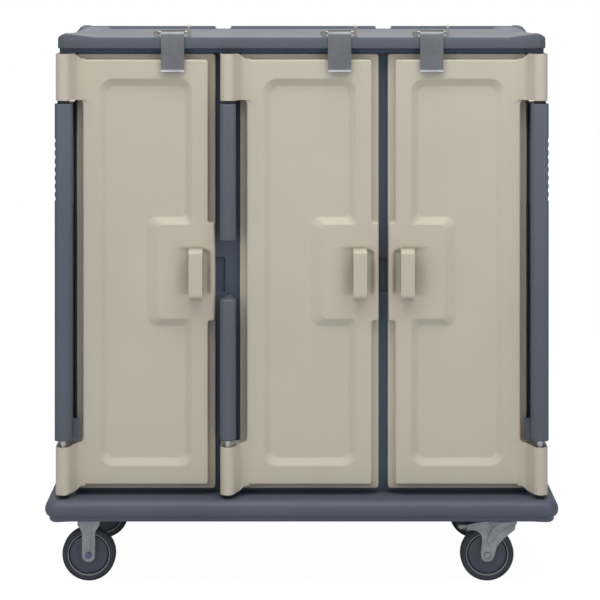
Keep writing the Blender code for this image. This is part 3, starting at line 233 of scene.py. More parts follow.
# %% [markdown]
# ## Moulded polyethylene
# The cabinet, doors, roof and base are rotationally moulded plastic. Powder melts on the
# inside of a turning mould, so the skin has a fine orange peel, faint clouds
# of shade where the wall is thicker, and long, shallow waves instead of true flats. Three
# noises at those three scales give it that look: clouds in the colour, peel in the
# roughness, and both peel and waves in the bump.

# %% Make the moulded plastics


def moulded(name, colour, shade, roughness, peel=0.00006, wave=0.0004):
    """Rotationally moulded plastic: clouded colour, orange peel and long shallow waves."""
    material, tree, shader = new_material(name)
    clouds = ramp(tree, noise(tree, 2.6, 3.0), 0.3, 0.72)
    specks = ramp(tree, noise(tree, 420.0, 1.0), 0.35, 0.75)
    base = blend(tree, clouds, linear(colour), linear(shade))
    darker = linear(tuple(part * 0.93 for part in colour))
    fine = noise(tree, 560.0, 2.0)
    long = noise(tree, 4.2, 1.0)
    smears = ramp(tree, noise(tree, 9.0, 4.0, (1, 1, 0.25)), 0.42, 0.8)
    normal = bump(tree, fine, peel, 1.0, bump(tree, long, wave))
    tree.fill(shader, {
        "Base Color": blend(tree, specks * 0.22, base, darker),
        "Roughness": roughness + 0.10 * smears + 0.06 * fine - 0.03,
        "Specular IOR Level": 0.42,
        "Normal": normal,
    })
    return material


DOOR = moulded("door_beige", (197, 189, 173), (192, 183, 167), 0.42)
LINER = moulded("liner_beige", (191, 183, 167), (185, 177, 161), 0.5)
SLATE = moulded("cabinet_slate", (92, 97, 108), (87, 92, 103), 0.42)
BUMPER = moulded("bumper_slate", (86, 91, 105), (81, 86, 100), 0.47, 0.00009)
# The cabinet's slate is tinted bluer than the roof's: a painted shade tint, since the cabinet shows
# only in the shaded gaps.
SHADE_TINTED_SLATE = moulded("slate_painted_shade_blue", (86, 97, 114), (81, 92, 109), 0.42)
print("moulded plastics ready")

# %% [markdown]
# ## Metals
# The latches are brushed stainless sheet: its grain runs across the flap, so one noise is
# stretched a hundredfold along X. The casters and the tray slides are zinc-plated pressed
# steel, which shows small crystals of a few millimetres and is duller in patches.

# %% Make the metals


def brushed(name, colour, roughness, stretch, grain=0.00003):
    """Brushed sheet: long fine scratches along one axis, in roughness and bump."""
    material, tree, shader = new_material(name)
    scratches = noise(tree, 900.0, 3.0, stretch, 0.7)
    patches = ramp(tree, noise(tree, 22.0, 2.0), 0.3, 0.7)
    dull = linear(tuple(part * 0.86 for part in colour))
    tree.fill(shader, {
        "Base Color": blend(tree, patches * 0.5, linear(colour), dull),
        "Metallic": 1.0,
        "Roughness": roughness + 0.16 * scratches + 0.06 * patches - 0.08,
        "Normal": bump(tree, scratches, grain),
    })
    return material


def plated(name, colour, roughness):
    """Zinc plate: small crystals that differ a little in shade and gloss."""
    material, tree, shader = new_material(name)
    place = tree.node("ShaderNodeTexCoord").out("Object")
    crystals = tree.node(
        "ShaderNodeTexVoronoi", {"feature": "F1"}, {"Vector": place, "Scale": 260.0}
    ).out("Distance")
    patches = ramp(tree, noise(tree, 38.0, 3.0), 0.3, 0.7)
    dull = linear(tuple(part * 0.8 for part in colour))
    tree.fill(shader, {
        "Base Color": blend(tree, patches * 0.45 + crystals * 0.25, linear(colour), dull),
        "Metallic": 0.85,
        "Roughness": roughness + 0.1 * patches + 0.12 * crystals,
        "Normal": bump(tree, noise(tree, 240.0, 3.0), 0.00005),
    })
    return material


STEEL = brushed("latch_steel", (140, 141, 144), 0.46, (0.01, 1, 1))
BAR_STEEL = brushed("pin_steel", (214, 216, 220), 0.3, (1, 1, 0.02))
SLIDE_STEEL = plated("slide_zinc", (206, 208, 210), 0.46)
ZINC = plated("caster_zinc", (178, 181, 183), 0.42)
print("metals ready")

# %% [markdown]
# ## Rubber, wheel cores and small plastics
# The treads are grey polyurethane that has rolled over floors: dull, with dust in patches.
# The cores are glass-filled nylon, a little smoother. The bushings and the collars of the
# upper pins are black nylon.

# %% Make the rubbers and small plastics


def worn(name, colour, dust, roughness, grain, amount=0.35):
    """A dull elastomer or nylon with dusty patches and a fine grain."""
    material, tree, shader = new_material(name)
    patches = ramp(tree, noise(tree, 30.0, 4.0), 0.42, 0.75)
    fine = noise(tree, 700.0, 2.0)
    tree.fill(shader, {
        "Base Color": blend(tree, patches * amount, linear(colour), linear(dust)),
        "Roughness": roughness + 0.15 * patches + 0.05 * fine,
        "Specular IOR Level": 0.4,
        "Normal": bump(tree, fine, grain),
    })
    return material


TYRE = worn("tread_grey", (54, 57, 66), (80, 81, 85), 0.55, 0.00008)
CORE = worn("core_grey", (77, 81, 94), (88, 90, 94), 0.42, 0.00004, 0.25)
# The ring's pale grey is a painted highlight: it stands for the light that the tyre's inner edge
# catches.
PAINTED_HIGHLIGHT_RING = worn("ring_painted_highlight", (150, 152, 158), (126, 128, 134), 0.45, 0.00004)
NYLON = worn("bushing_black", (24, 25, 28), (40, 41, 44), 0.35, 0.00003, 0.2)
SEAL = worn("gasket_grey", (46, 48, 52), (60, 61, 64), 0.6, 0.00008, 0.2)
print("rubbers and nylons ready")

# %% [markdown]
# ## A stage that keeps pale things pale
# The floor and the backdrop are one sheet, so no horizon shows. The camera sees it as
# plain white, while the cart is lit by its true, slightly grey surface. That keeps the
# white from washing out the beige doors. A broad lamp overhead does most of the work, as in
# the photograph, where the doors are brighter at the top. Two weaker lamps in front fill in
# from both sides, and one behind lights the roof's back edge.

# %% Light the stage
FLOOR_WHITE = 0.90
FLOOR_GLOW = 1.08
SKY_LEVEL = 0.38
LAMPS = (
    ("overhead", (0.0, -1.9, 4.4), (0, 0, 1.0), (4.6, 2.4), 120),
    ("left_fill", (-3.2, -4.2, 2.2), (0, 0, 0.9), (2.4, 2.2), 34),
    ("right_fill", (3.2, -4.2, 2.2), (0, 0, 0.9), (2.4, 2.2), 34),
    ("back_rim", (0.0, 3.2, 3.4), (0, 0, 1.2), (3.4, 1.6), 30),
)


def make_floor(size=16.0):
    """A floor plane that the camera sees as plain white, with the cart's faint shadow."""
    mesh = bpy.data.meshes.new("studio_floor")
    half = size / 2
    corners = [(-half, -half, 0), (half, -half, 0), (half, half, 0), (-half, half, 0)]
    mesh.from_pydata(corners, [], [(0, 1, 2, 3)])
    floor = bpy.data.objects.new("studio_floor", mesh)
    bpy.context.scene.collection.objects.link(floor)
    material, tree, shader = new_material("studio_floor")
    tree.fill(shader, {"Base Color": linear((214, 215, 217)), "Roughness": 0.9})
    seen = tree.node("ShaderNodeLightPath").out("Is Camera Ray")
    glow = tree.node("ShaderNodeEmission", {}, {"Color": (1, 1, 1, 1), "Strength": FLOOR_GLOW})
    surface = Wire(tree, shader.outputs["BSDF"])
    share = seen * FLOOR_WHITE
    mixed = tree.node(
        "ShaderNodeMixShader", {}, {"Fac": share, 1: surface, 2: glow.out("Emission")}
    )
    output = material.node_tree.nodes["Material Output"]
    tree.fill(output, {"Surface": mixed.out("Shader")})
    mesh.materials.append(material)


def make_sky(level):
    """Even light from all round, which the camera sees as white."""
    world = bpy.data.worlds.new("studio_sky")
    world.use_nodes = True
    bpy.context.scene.world = world
    tree = Tree(world)
    light = world.node_tree.nodes["Background"]
    tree.fill(light, {"Color": (0.96, 0.98, 1.0, 1.0), "Strength": level})
    white = tree.node("ShaderNodeBackground", {}, {"Color": (1, 1, 1, 1), "Strength": 1.0})
    mixed = tree.node("ShaderNodeMixShader", {}, {
        "Fac": tree.node("ShaderNodeLightPath").out("Is Camera Ray"),
        1: Wire(tree, light.outputs["Background"]), 2: white.out("Background"),
    })
    tree.fill(world.node_tree.nodes["World Output"], {"Surface": mixed.out("Shader")})


def make_lamp(name, place, target, size, power):
    """A square lamp that faces a point."""
    data = bpy.data.lights.new(name, "AREA")
    data.shape = "RECTANGLE"
    data.size, data.size_y = size
    data.energy = power
    lamp = bpy.data.objects.new(name, data)
    lamp.location = place
    aim = np.subtract(target, place)
    across = math.atan2(aim[0], -aim[1])
    down = math.acos(-aim[2] / np.linalg.norm(aim))
    lamp.rotation_euler = (down, 0, across + math.pi)
    bpy.context.scene.collection.objects.link(lamp)


make_floor()
make_sky(SKY_LEVEL)
for lamp_settings in LAMPS:
    make_lamp(*lamp_settings)
bpy.context.scene.view_settings.view_transform = "Standard"
print("stage lit")

# %% [markdown]
# ## Softened copies of the solids
# A solid from the frame has razor edges and comes as loose triangles. Where its shape is
# already right, a copy is enough: the corners are merged, the triangles joined back to
# flats, and each sharp edge gets a small round, as a moulded or pressed piece has. Flats
# keep their own normals, so that only the rounds look round.

# %% Copy and soften solids


def merged_copy(node):
    """A mesh like a node's, with its corners merged and its triangles joined to flats."""
    mesh = bmesh.new()
    mesh.from_mesh(frame["nodes"][node].data)
    bmesh.ops.remove_doubles(mesh, verts=mesh.verts, dist=0.00002)
    bmesh.ops.dissolve_limit(
        mesh, angle_limit=math.radians(1.0), verts=mesh.verts, edges=mesh.edges
    )
    result = bpy.data.meshes.new(node)
    mesh.to_mesh(result)
    mesh.free()
    return result


def show(name, mesh, material, node_names, body):
    """Link a piece, say what it rides on, hide the solids it stands for, and give it its finish."""
    mesh.materials.clear()
    mesh.materials.append(material)
    piece = bpy.data.objects.new(name, mesh)
    bpy.context.scene.collection.objects.link(piece)
    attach(piece, body)
    if node_names:
        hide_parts(*node_names)
    return piece


def round_piece(piece, width, steps, sharp=32):
    """Round a piece's sharp edges, and shade it smooth with flats kept flat."""
    smooth = np.ones(len(piece.data.polygons), dtype=bool)
    piece.data.polygons.foreach_set("use_smooth", smooth)
    bevel = piece.modifiers.new("edge_round", "BEVEL")
    bevel.width = width
    bevel.segments = steps
    bevel.limit_method = "ANGLE"
    bevel.angle_limit = math.radians(sharp)
    bevel.harden_normals = True
    bevel.use_clamp_overlap = True
    return piece


def softened(node, material, width=0.0012, steps=2, sharp=32):
    """A rounded copy of one solid, in its place and on its body."""
    body = frame["nodes"][node]["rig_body"]
    piece = show(node + "_skin", merged_copy(node), material, [node], body)
    return round_piece(piece, width, steps, sharp)


# %% [markdown]
# ## Surfaces lofted through outlines
# Most of the cart's skin can be thought of as a stack of closed outlines. Each outline has
# the same number of points, so point n of one ring joins point n of the next, and the rows
# of quads between them make the skin. The outlines are polygons with rounded corners. A
# corner's arc needs no centre: it starts on the side before the corner, ends on the side
# after it, and the sine and cosine of its turn say how far each side pulls it away.

# %% Define outlines and lofts
FRONT_Y = -0.229
HINGES = {"left": (-0.672, 1), "middle": (-0.208, 1), "right": (0.672, -1)}
HINGE_AHEAD = 0.080


def rounded(corners, radii, counts, steps=8):
    """Points round a polygon with square corners.

    An arc point is the corner plus the radius times (1 - sin turn) along the side before
    it and (1 - cos turn) along the side after it; a side's points are evenly spaced.
    """
    corners = np.asarray(corners, dtype=float)
    before = np.roll(corners, 1, axis=0) - corners
    after = np.roll(corners, -1, axis=0) - corners
    before = (before / np.linalg.norm(before, axis=1, keepdims=True))[:, None]
    after = (after / np.linalg.norm(after, axis=1, keepdims=True))[:, None]
    turn = np.linspace(0, math.pi / 2, steps + 1)[None, :, None]
    pull = before * (1 - np.sin(turn)) + after * (1 - np.cos(turn))
    arcs = corners[:, None] + np.asarray(radii, dtype=float)[:, None, None] * pull
    rows = []
    for index, count in enumerate(counts):
        start, end = arcs[index, -1], arcs[(index + 1) % len(counts), 0]
        share = np.linspace(0, 1, count + 2)[1:-1, None]
        rows += [arcs[index], start + (end - start) * share]
    return np.concatenate(rows)


def rectangle(low, high):
    """The four corners of a rectangle between two opposite ones, counterclockwise."""
    return np.array([low, (high[0], low[1]), high, (low[0], high[1])])


def shrunk(points, distance):
    """An outline moved inwards: each point goes along the normal of its two neighbours."""
    run = np.roll(points, -1, axis=0) - np.roll(points, 1, axis=0)
    normal = np.stack([-run[:, 1], run[:, 0]], axis=1)
    normal /= np.linalg.norm(normal, axis=1, keepdims=True) + 1e-12
    nearby = np.roll(points, -1, axis=0)
    area = (points[:, 0] * nearby[:, 1] - nearby[:, 0] * points[:, 1]).sum()
    return points + normal * distance * math.copysign(1, area)


def skin(name, stacks):
    """A mesh of one or more lofts, each an array of rings.

    A loft whose last ring is its first again is joined to itself; any other is capped.
    """
    mesh = bmesh.new()
    for rings in stacks:
        rings = np.asarray(rings, dtype=float)
        joined = np.allclose(rings[0], rings[-1])
        rings = rings[:-1] if joined else rings
        rows, around = rings.shape[:2]
        index = np.arange(rows * around).reshape(rows, around)
        caps = [] if joined else [index[0, ::-1].tolist(), index[-1].tolist()]
        rise = np.vstack([index, index[:1]]) if joined else index
        beside = np.roll(rise, -1, axis=1)
        quads = np.stack([rise[:-1], beside[:-1], beside[1:], rise[1:]], axis=-1)
        loft = bpy.data.meshes.new(name)
        loft.from_pydata(rings.reshape(-1, 3).tolist(), [], quads.reshape(-1, 4).tolist() + caps)
        mesh.from_mesh(loft)
        bpy.data.meshes.remove(loft)
    bmesh.ops.recalc_face_normals(mesh, faces=mesh.faces)
    result = bpy.data.meshes.new(name)
    mesh.to_mesh(result)
    mesh.free()
    result.shade_smooth()
    result.set_sharp_from_angle(angle=math.radians(42))
    return result


def show_skin(name, stacks, material, node_names, body):
    """Loft a piece and show it, with its mesh under the same name."""
    show(name, skin(name, stacks), material, node_names, body)


def closed(profile):
    """A profile that ends where it starts, so that its loft is joined to itself."""
    return np.concatenate([profile, profile[:1]])


def pillow(points, low, high, rounding, steps=5):
    """Rings for a prism with rounded ends, as (outline, height) pairs.

    Near an end the outline shrinks by rounding * (1 - cos turn) while the height goes
    rounding * (1 - sin turn) from that end, so the edge is a quarter circle.
    """
    turn = np.linspace(math.pi / 2, 0, steps + 1)
    first = [(shrunk(points, rounding * math.sin(t)), low + rounding * (1 - math.cos(t)))
             for t in turn]
    last = [(shrunk(points, rounding * math.sin(t)), high - rounding * (1 - math.cos(t)))
            for t in turn[::-1]]
    return first + last


def stacked(pairs, axis):
    """Rings in space from (outline, height) pairs that are stacked along an axis."""
    rings = []
    for points, height in pairs:
        level = np.full(len(points), height)
        first, second = points[:, 0], points[:, 1]
        columns = {"X": (level, first, second), "Y": (first, level, second),
                   "Z": (first, second, level)}[axis]
        rings.append(np.stack(columns, axis=1))
    return np.array(rings)


def turned(profile, centre, axis="Y", around=96):
    """Rings about an axis: each (radius, along) point of the profile makes one circle."""
    profile = np.asarray(profile, dtype=float)
    turn = np.linspace(0, 2 * math.pi, around, endpoint=False)
    radius, along = profile[:, :1], np.repeat(profile[:, 1:], around, axis=1)
    first, second = radius * np.cos(turn), radius * np.sin(turn)
    columns = {"X": (along, first, second), "Y": (first, along, second),
               "Z": (first, second, along)}[axis]
    return np.stack(columns, axis=-1) + np.asarray(centre)


def smoothed(corners, times=3):
    """A closed outline with its corners cut: each pass keeps 1/4 and 3/4 of every side."""
    points = np.asarray(corners, dtype=float)
    for _ in range(times):
        after = np.roll(points, -1, axis=0)
        points = np.stack([points * 0.75 + after * 0.25, points * 0.25 + after * 0.75], axis=1)
        points = points.reshape(-1, 2)
    return points


print("loft helpers ready")

# %% [markdown]
# ## A door's skin
# A door is one moulding: a flange round its back, a raised face, a sunk panel that
# goes round a pad, and a scooped well behind the handle. All its edges are outlines of
# twelve corners, so they can be stacked from the back edge to the panel's floor. A moulded
# edge is never sharp, so each rise is a run of rings: a draft, a quarter round, then a flat.

# %% Loft the door's rings
SIDE_COUNTS = (12, 16, 8, 64, 8, 16, 12, 4, 3, 24, 3, 4)
INWARD = np.array([
    (1, 1), (-1, 1), (-1, 1), (-1, 1), (-1, -1), (-1, -1),
    (-1, -1), (1, -1), (1, 1), (1, 1), (1, -1), (1, -1),
], dtype=float)
TURNS = np.array([1, 1, -1, 1, 1, -1, 1, 1, 1, -1, -1, 1], dtype=float)
FLANGE = np.array([
    (0.032, 0.265), (0.427, 0.265), (0.427, 0.745), (0.427, 0.752), (0.427, 1.018), (0.427, 1.025),
    (0.427, 1.502), (0.032, 1.502), (0.032, 1.375), (0.032, 1.358), (0.032, 0.409), (0.032, 0.392),
])
FLANGE_INWARD = np.array([
    (1, 1), (-1, 1), (-1, 0), (0, 0), (0, 0), (-1, 0),
    (-1, -1), (1, -1), (1, 0), (1, 0), (1, 0), (1, 0),
], dtype=float)
FLANGE_RADII = np.array([9, 9, 0, 0, 0, 0, 9, 9, 0, 0, 0, 0]) / 1000
FACE = np.array([
    (0.020, 0.281), (0.408, 0.281), (0.408, 0.745), (0.427, 0.745), (0.427, 1.025), (0.408, 1.025),
    (0.408, 1.4868), (0.020, 1.4868), (0.020, 1.375), (0.051, 1.375), (0.051, 0.399), (0.020, 0.399),
])
FACE_RADII = np.array([9, 9, 6, 6, 6, 6, 9, 9, 4, 17, 17, 4]) / 1000
FRAME = np.array([
    (0.075, 0.310), (0.385, 0.310), (0.385, 0.760), (0.385, 0.770), (0.385, 1.000), (0.385, 1.010),
    (0.385, 1.460), (0.075, 1.460), (0.075, 1.375), (0.075, 1.358), (0.075, 0.409), (0.075, 0.392),
])
FRAME_RADII = np.array([15, 15, 0, 0, 0, 0, 15, 15, 0, 0, 0, 0]) / 1000
PANEL_RIM = np.array([
    (0.100, 0.335), (0.362, 0.335), (0.362, 0.752), (0.267, 0.752), (0.267, 1.018), (0.362, 1.018),
    (0.362, 1.432), (0.100, 1.432), (0.100, 1.375), (0.100, 1.358), (0.100, 0.409), (0.100, 0.392),
])
PANEL_FLOOR = np.array([
    (0.121, 0.356), (0.341, 0.356), (0.341, 0.731), (0.233, 0.731), (0.233, 1.039), (0.341, 1.039),
    (0.341, 1.411), (0.121, 1.411), (0.121, 1.375), (0.121, 1.358), (0.121, 0.409), (0.121, 0.392),
])
RIM_RADII = np.array([37, 37, 12, 14, 14, 12, 37, 37, 0, 0, 0, 0]) / 1000
FLOOR_RADII = np.array([23, 23, 14, 26, 26, 14, 23, 23, 0, 0, 0, 0]) / 1000
FACE_AHEAD, FLANGE_AHEAD = 0.054, 0.027


def door_outline(corners, radii):
    """One outline of the door, with points that match those of all the others."""
    return rounded(corners, radii, SIDE_COUNTS)


def flange_rings():
    """The flange's side and front edge: a straight wall with a round at both ends."""
    rows = ((0.002, 0.003), (0.0006, 0.0036), (0, 0.005), (0, 0.0226), (0.0005, 0.0245),
            (0.0018, 0.0262), (0.0036, FLANGE_AHEAD))
    return [(door_outline(FLANGE + FLANGE_INWARD * inset, FLANGE_RADII), ahead)
            for inset, ahead in rows]


def face_rings():
    """The rise from flange to face: a small fillet, a drafted wall, then a round edge."""
    turn = np.linspace(0, math.pi / 2, 8)
    fillet = [(-0.0026 * (1 - math.sin(t)), FLANGE_AHEAD + 0.0026 * (1 - math.cos(t)))
              for t in turn[:-1:2]]
    wall = [(0.0002, 0.034), (0.0007, 0.047)]
    edge = [(0.0008 + 0.0055 * (1 - math.cos(t)), FACE_AHEAD - 0.0055 * (1 - math.sin(t)))
            for t in turn]
    rings = []
    for inset, ahead in fillet + wall + edge:
        corners = FACE + INWARD * inset
        corners[:, 0] = np.minimum(corners[:, 0], FLANGE[1, 0])
        radii = np.maximum(FACE_RADII - TURNS * inset, 0.0008)
        rings.append((door_outline(corners, radii), ahead))
    return rings


def panel_rings(depth=0.013, run=0.021, soft=0.0024):
    """The slope to the panel's floor, a straight ramp averaged over a window.

    The area under a ramp of length run is x * x / (2 * run), then x - run / 2. The mean
    ramp over a window is the difference of two such areas over the window's width.
    """
    across = np.concatenate([np.linspace(-soft, run + soft, 22), [0.034, 0.044]])

    def area(x):
        inside = np.clip(x, 0, run)
        return inside ** 2 / (2 * run) + np.maximum(x - run, 0)

    drop = depth * (area(across + soft) - area(across - soft)) / (2 * soft)
    rings = []
    for x, fall in zip(across, drop):
        share = x / run
        corners = PANEL_RIM + (PANEL_FLOOR - PANEL_RIM) * share
        radii = np.minimum(RIM_RADII + (FLOOR_RADII - RIM_RADII) * share,
                           np.maximum(RIM_RADII, FLOOR_RADII))
        rings.append((door_outline(corners, radii), FACE_AHEAD - fall))
    return rings


def smooth_step(low, high, value):
    """0 below low, 1 above high, and 3 t squared less 2 t cubed between."""
    t = np.clip((value - low) / (high - low), 0, 1)
    return t * t * (3 - 2 * t)


def well(u, z, depth=0.0085):
    """The finger well: a scoop that deepens slowly from the left and ends steeply."""
    across = smooth_step(0.298, 0.372, u) * (1 - smooth_step(0.402, 0.4165, u))
    bow = 0.010 * smooth_step(0.38, 0.416, u)
    up = smooth_step(0.806 + bow, 0.819 + bow, z) * (1 - smooth_step(0.944 - bow, 0.957 - bow, z))
    return depth * across * up


def flat_rings(outer, inner, count):
    """Rings on the face's flat: each point goes straight from one outline to the other."""
    return [(outer + (inner - outer) * share, FACE_AHEAD)
            for share in np.linspace(0, 1, count + 2)[1:-1]]


def door_rings():
    """All rings of a door as an array of (u, ahead, z), with the well pressed in."""
    face, panel = face_rings(), panel_rings()
    frame_line = door_outline(FRAME, FRAME_RADII)
    flat = flat_rings(face[-1][0], frame_line, 15) + [(frame_line, FACE_AHEAD)]
    flat += flat_rings(frame_line, panel[0][0], 42)
    rings = np.array([
        np.stack([points[:, 0], np.full(len(points), ahead), points[:, 1]], axis=1)
        for points, ahead in flange_rings() + face + flat + panel
    ])
    on_face = smooth_step(0.050, 0.0535, rings[..., 1])
    rings[..., 1] -= well(rings[..., 0], rings[..., 2]) * on_face
    return rings


def at_door(rings, name):
    """Turn (u, ahead, z) from a door's hinge axis into a place on the cart."""
    hinge, side = HINGES[name]
    rings = np.asarray(rings)
    return np.stack(
        [hinge + side * rings[..., 0], FRONT_Y - rings[..., 1], rings[..., 2]], axis=-1
    )


DOOR_RINGS = door_rings()
print("door rings:", DOOR_RINGS.shape[0], "of", DOOR_RINGS.shape[1], "points")

# %% [markdown]
# ## Hinge lugs and handles
# A lug's plan is round about the pin and slopes tangentially down to the door's face, where
# it ends a hair above the face, so the two read as one moulding. A handle is a flat hoop:
# its side view is a U on its side, and its ends across are rounded.

# %% Build the doors with their lugs and handles
LOWER_LUG, UPPER_LUG = (0.263, 0.397), (1.372, 1.504)
GRIP_SIDES = (0.354, 0.392)


def lug_plan():
    """The plan of a lug as (u, ahead): arc, slope, soft foot on the face, square back."""
    radius, face = 0.0215, FACE_AHEAD + 0.00015
    reach = math.hypot(0.037, HINGE_AHEAD - face)
    tangent = math.acos(radius / reach) - math.atan2(HINGE_AHEAD - face, 0.037)
    turn = np.linspace(math.pi, tangent, 26)
    arc = np.stack([radius * np.cos(turn), HINGE_AHEAD + radius * np.sin(turn)], axis=1)
    share = np.linspace(0, 1, 12)[1:, None]
    foot_start = arc[-1] + (np.array([0.037, face]) - arc[-1]) * 0.72
    slope = arc[-1] + (foot_start - arc[-1]) * share
    t = np.linspace(0, 1, 10)[1:, None]
    knee, foot_end = np.array([0.037, face]), np.array([0.047, face])
    foot = foot_start * (1 - t) ** 2 + knee * 2 * t * (1 - t) + foot_end * t ** 2
    rest = np.array([
        (0.055, face), (0.058, face - 0.0006), (0.061, face - 0.004), (0.062, 0.040),
        (0.062, 0.014), (0.060, 0.010), (0.056, 0.008), (0.020, 0.008), (-0.0145, 0.008),
        (-0.0195, 0.010), (-0.0215, 0.015), (-0.0215, 0.045), (-0.0215, 0.066),
    ])
    return np.concatenate([arc, slope, foot, rest])


def handle_profile():
    """The side view of a handle as (ahead, z): a bar on two feet, with round corners."""
    low, high, foot, front = 0.8125, 0.951, 0.0475, 0.100
    corners = [
        (foot, low), (front, low), (front, high), (foot, high), (foot, high - 0.017),
        (front - 0.020, high - 0.025), (front - 0.020, low + 0.025), (foot, low + 0.017),
    ]
    radii = np.array([1, 13, 13, 1, 1, 9, 9, 1]) / 1000
    return rounded(corners, radii, (6, 16, 6, 2, 3, 8, 3, 2))


def lug_rings(low, high, low_rises, high_rises, rounding=0.009):
    """A lug's rings. Towards the face its ends rise, so that they run into the face's edge.

    A rise is (height, start, end): none at start, all at end, fading to the lug's middle.
    """
    rings = stacked(pillow(lug_plan(), low, high, rounding, 9), "Z")
    middle, half = (low + high) / 2, (high - low) / 2
    upward = (rings[..., 2] - middle) / half
    for rises, part in ((low_rises, upward < 0), (high_rises, upward > 0)):
        for rise, start, end in rises:
            rings[..., 2] += part * rise * np.abs(upward) * smooth_step(start, end, rings[..., 0])
    return rings


def make_door(name):
    """One door's skin with both lugs, and its handle."""
    body = "door_" + name
    low_rises = [(0.004, 0.006, 0.03), (0.0128, 0.031, 0.05)]
    lugs = [
        lug_rings(*LOWER_LUG, low_rises, [(0.006, 0.01, 0.047)], 0.013),
        lug_rings(*UPPER_LUG, [], [(-0.015, 0.026, 0.05)]),
    ]
    stacks = [at_door(rings, name) for rings in [DOOR_RINGS] + lugs]
    show_skin(body + "_skin", stacks, DOOR, [body + "_shell"], body)
    profile = pillow(handle_profile(), *GRIP_SIDES, 0.006, 6)
    handle = at_door(stacked(profile, "X"), name)
    show_skin(body + "_grip", [handle], DOOR, [body + "_handle"], body)


for name in HINGES:
    make_door(name)
    softened("door_{}_liner".format(name), LINER, 0.004, 3)
print("doors, lugs and handles made")

# %% [markdown]
# ## Wheels
# Anything that was turned or moulded round an axis is a profile spun about it: a list of
# (radius, along) points, each of which makes one circle. A wheel is three such pieces. The
# tread is a tyre with a rounded shoulder, the core is a dished disc with a hub, and a pale
# ring stands between them, painted pale as a highlight on the tyre's inner edge. The dark line inside
# the ring is a real groove, 4 mm wide.

# %% Turn the wheels
WHEELS = {
    "left_front": (-0.606, -0.234), "left_back": (-0.606, 0.234),
    "right_front": (0.528, -0.234), "right_back": (0.528, 0.234),
}
AXLE_HEIGHT = 0.076
BLUE_ZINC = plated("axle_blue_zinc", (112, 124, 154), 0.4)


def mirrored(half_profile):
    """A profile's outer half followed by its other side, as (radius, along) points."""
    half_profile = np.asarray(half_profile, dtype=float)
    return np.concatenate([half_profile, half_profile[::-1] * (1, -1)])


def tread_profile():
    """The tyre: a flank that bulges a little, then a quarter round to the tread."""
    turn = np.linspace(math.pi / 2, 0, 9)
    shoulder = np.stack([0.067 + 0.009 * np.cos(turn), 0.010 + 0.009 * np.sin(turn)], axis=1)
    flank = [(0.0609, 0.0), (0.0609, 0.0158), (0.0614, 0.0168), (0.0626, 0.0176), (0.0645, 0.0186)]
    half = np.concatenate([flank, shoulder])
    return closed(mirrored(half))


def make_wheel(name, place):
    """A wheel's tyre, core and ring, which turn together, and its axle, which doesn't."""
    centre = (place[0], place[1], AXLE_HEIGHT)
    body = "wheel_" + name
    tyre = skin(body + "_tread", [turned(tread_profile(), centre, around=128)])
    show(body + "_tread", tyre, TYRE, ["wheel_tyre_" + name], body)
    disc = mirrored([
        (0.0066, 0.0214), (0.0178, 0.0214), (0.0188, 0.0208), (0.019, 0.0198), (0.0192, 0.0135),
        (0.0205, 0.0126), (0.036, 0.0136), (0.0515, 0.0128), (0.0532, 0.0122), (0.0539, 0.0108),
        (0.054, 0.003), (0.0576, 0.003), (0.0577, 0.0),
    ])
    core = closed(disc)
    show_skin(body + "_disc", [turned(core, centre, around=128)], CORE,
         ["wheel_core_" + name], body)
    # The pale ring paints the highlight on the tyre's inner edge.
    rim = mirrored([(0.0578, 0.002), (0.0580, 0.0168), (0.0586, 0.0175), (0.0600, 0.0175),
                    (0.0605, 0.0168), (0.0607, 0.002)])
    rim = closed(rim)
    show_skin(body + "_ring", [turned(rim, centre, around=128)], PAINTED_HIGHLIGHT_RING,
         [], body)
    bolt = mirrored([(0.0005, 0.0318), (0.0058, 0.0316), (0.0078, 0.0308), (0.0086, 0.0298),
                     (0.0088, 0.0273), (0.0058, 0.0273), (0.0058, 0.010)])
    carrier = frame["nodes"]["wheel_axle_" + name]["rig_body"]
    finish = BLUE_ZINC if name.startswith("left") else ZINC
    show_skin("wheel_bolt_" + name, [turned(bolt, centre, around=48)],
         finish, ["wheel_axle_" + name], carrier)


for name, place in WHEELS.items():
    make_wheel(name, place)
print("wheels turned:", len(WHEELS))

# %% [markdown]
# ## Caster forks
# A fork is pressed from sheet steel: two legs, a bridge over the wheel and a plate with
# four bolts. Seen from the side a leg is one outline, so each leg is that outline as a
# thin prism with soft edges. Stiffening ribs are pressed out of the sheet. They are thinner
# prisms that stand 2 mm proud of it.

# %% Press the forks
LEG_SIDES = ((-0.0268, -0.0230), (0.0230, 0.0268))
RIB_SIDES = ((-0.0288, -0.0262), (0.0262, 0.0288))
RIGID_PLATE = (0.064, 0.095)
SWIVEL_PLATE = (0.088, 0.102)
BOLT_INSET = 0.0095


def slabs(outline, sides, centre, rounding):
    """Prisms of an (x, z) outline about a wheel's centre, one for each pair of depths."""
    placed = outline + np.array([centre[0], AXLE_HEIGHT])
    return [stacked(pillow(placed, centre[1] + low, centre[1] + high, rounding, 3), "Y")
            for low, high in sides]


def bolts(centre, width, length):
    """Four hexagon heads under a plate, as rings about upright axes."""
    head = [(0.0002, 0.1824), (0.0058, 0.1824), (0.0066, 0.1830), (0.0066, 0.1869),
            (0.0085, 0.1869), (0.0085, 0.1884)]
    reach = (width / 2 - BOLT_INSET, length / 2 - BOLT_INSET)
    corners = [(centre[0] + across * reach[0], centre[1] + along * reach[1], 0)
               for across in (-1, 1) for along in (-1, 1)]
    return [turned(head, corner, "Z", 6) for corner in corners]


def plate(centre, width, length):
    """A caster's top plate with rounded corners."""
    x, y = centre
    corners = rectangle((x - width / 2, y - length / 2), (x + width / 2, y + length / 2))
    outline = rounded(corners, [0.008] * 4, [2] * 4, 6)
    return stacked(pillow(outline, 0.1877, 0.1927, 0.0008, 2), "Z")


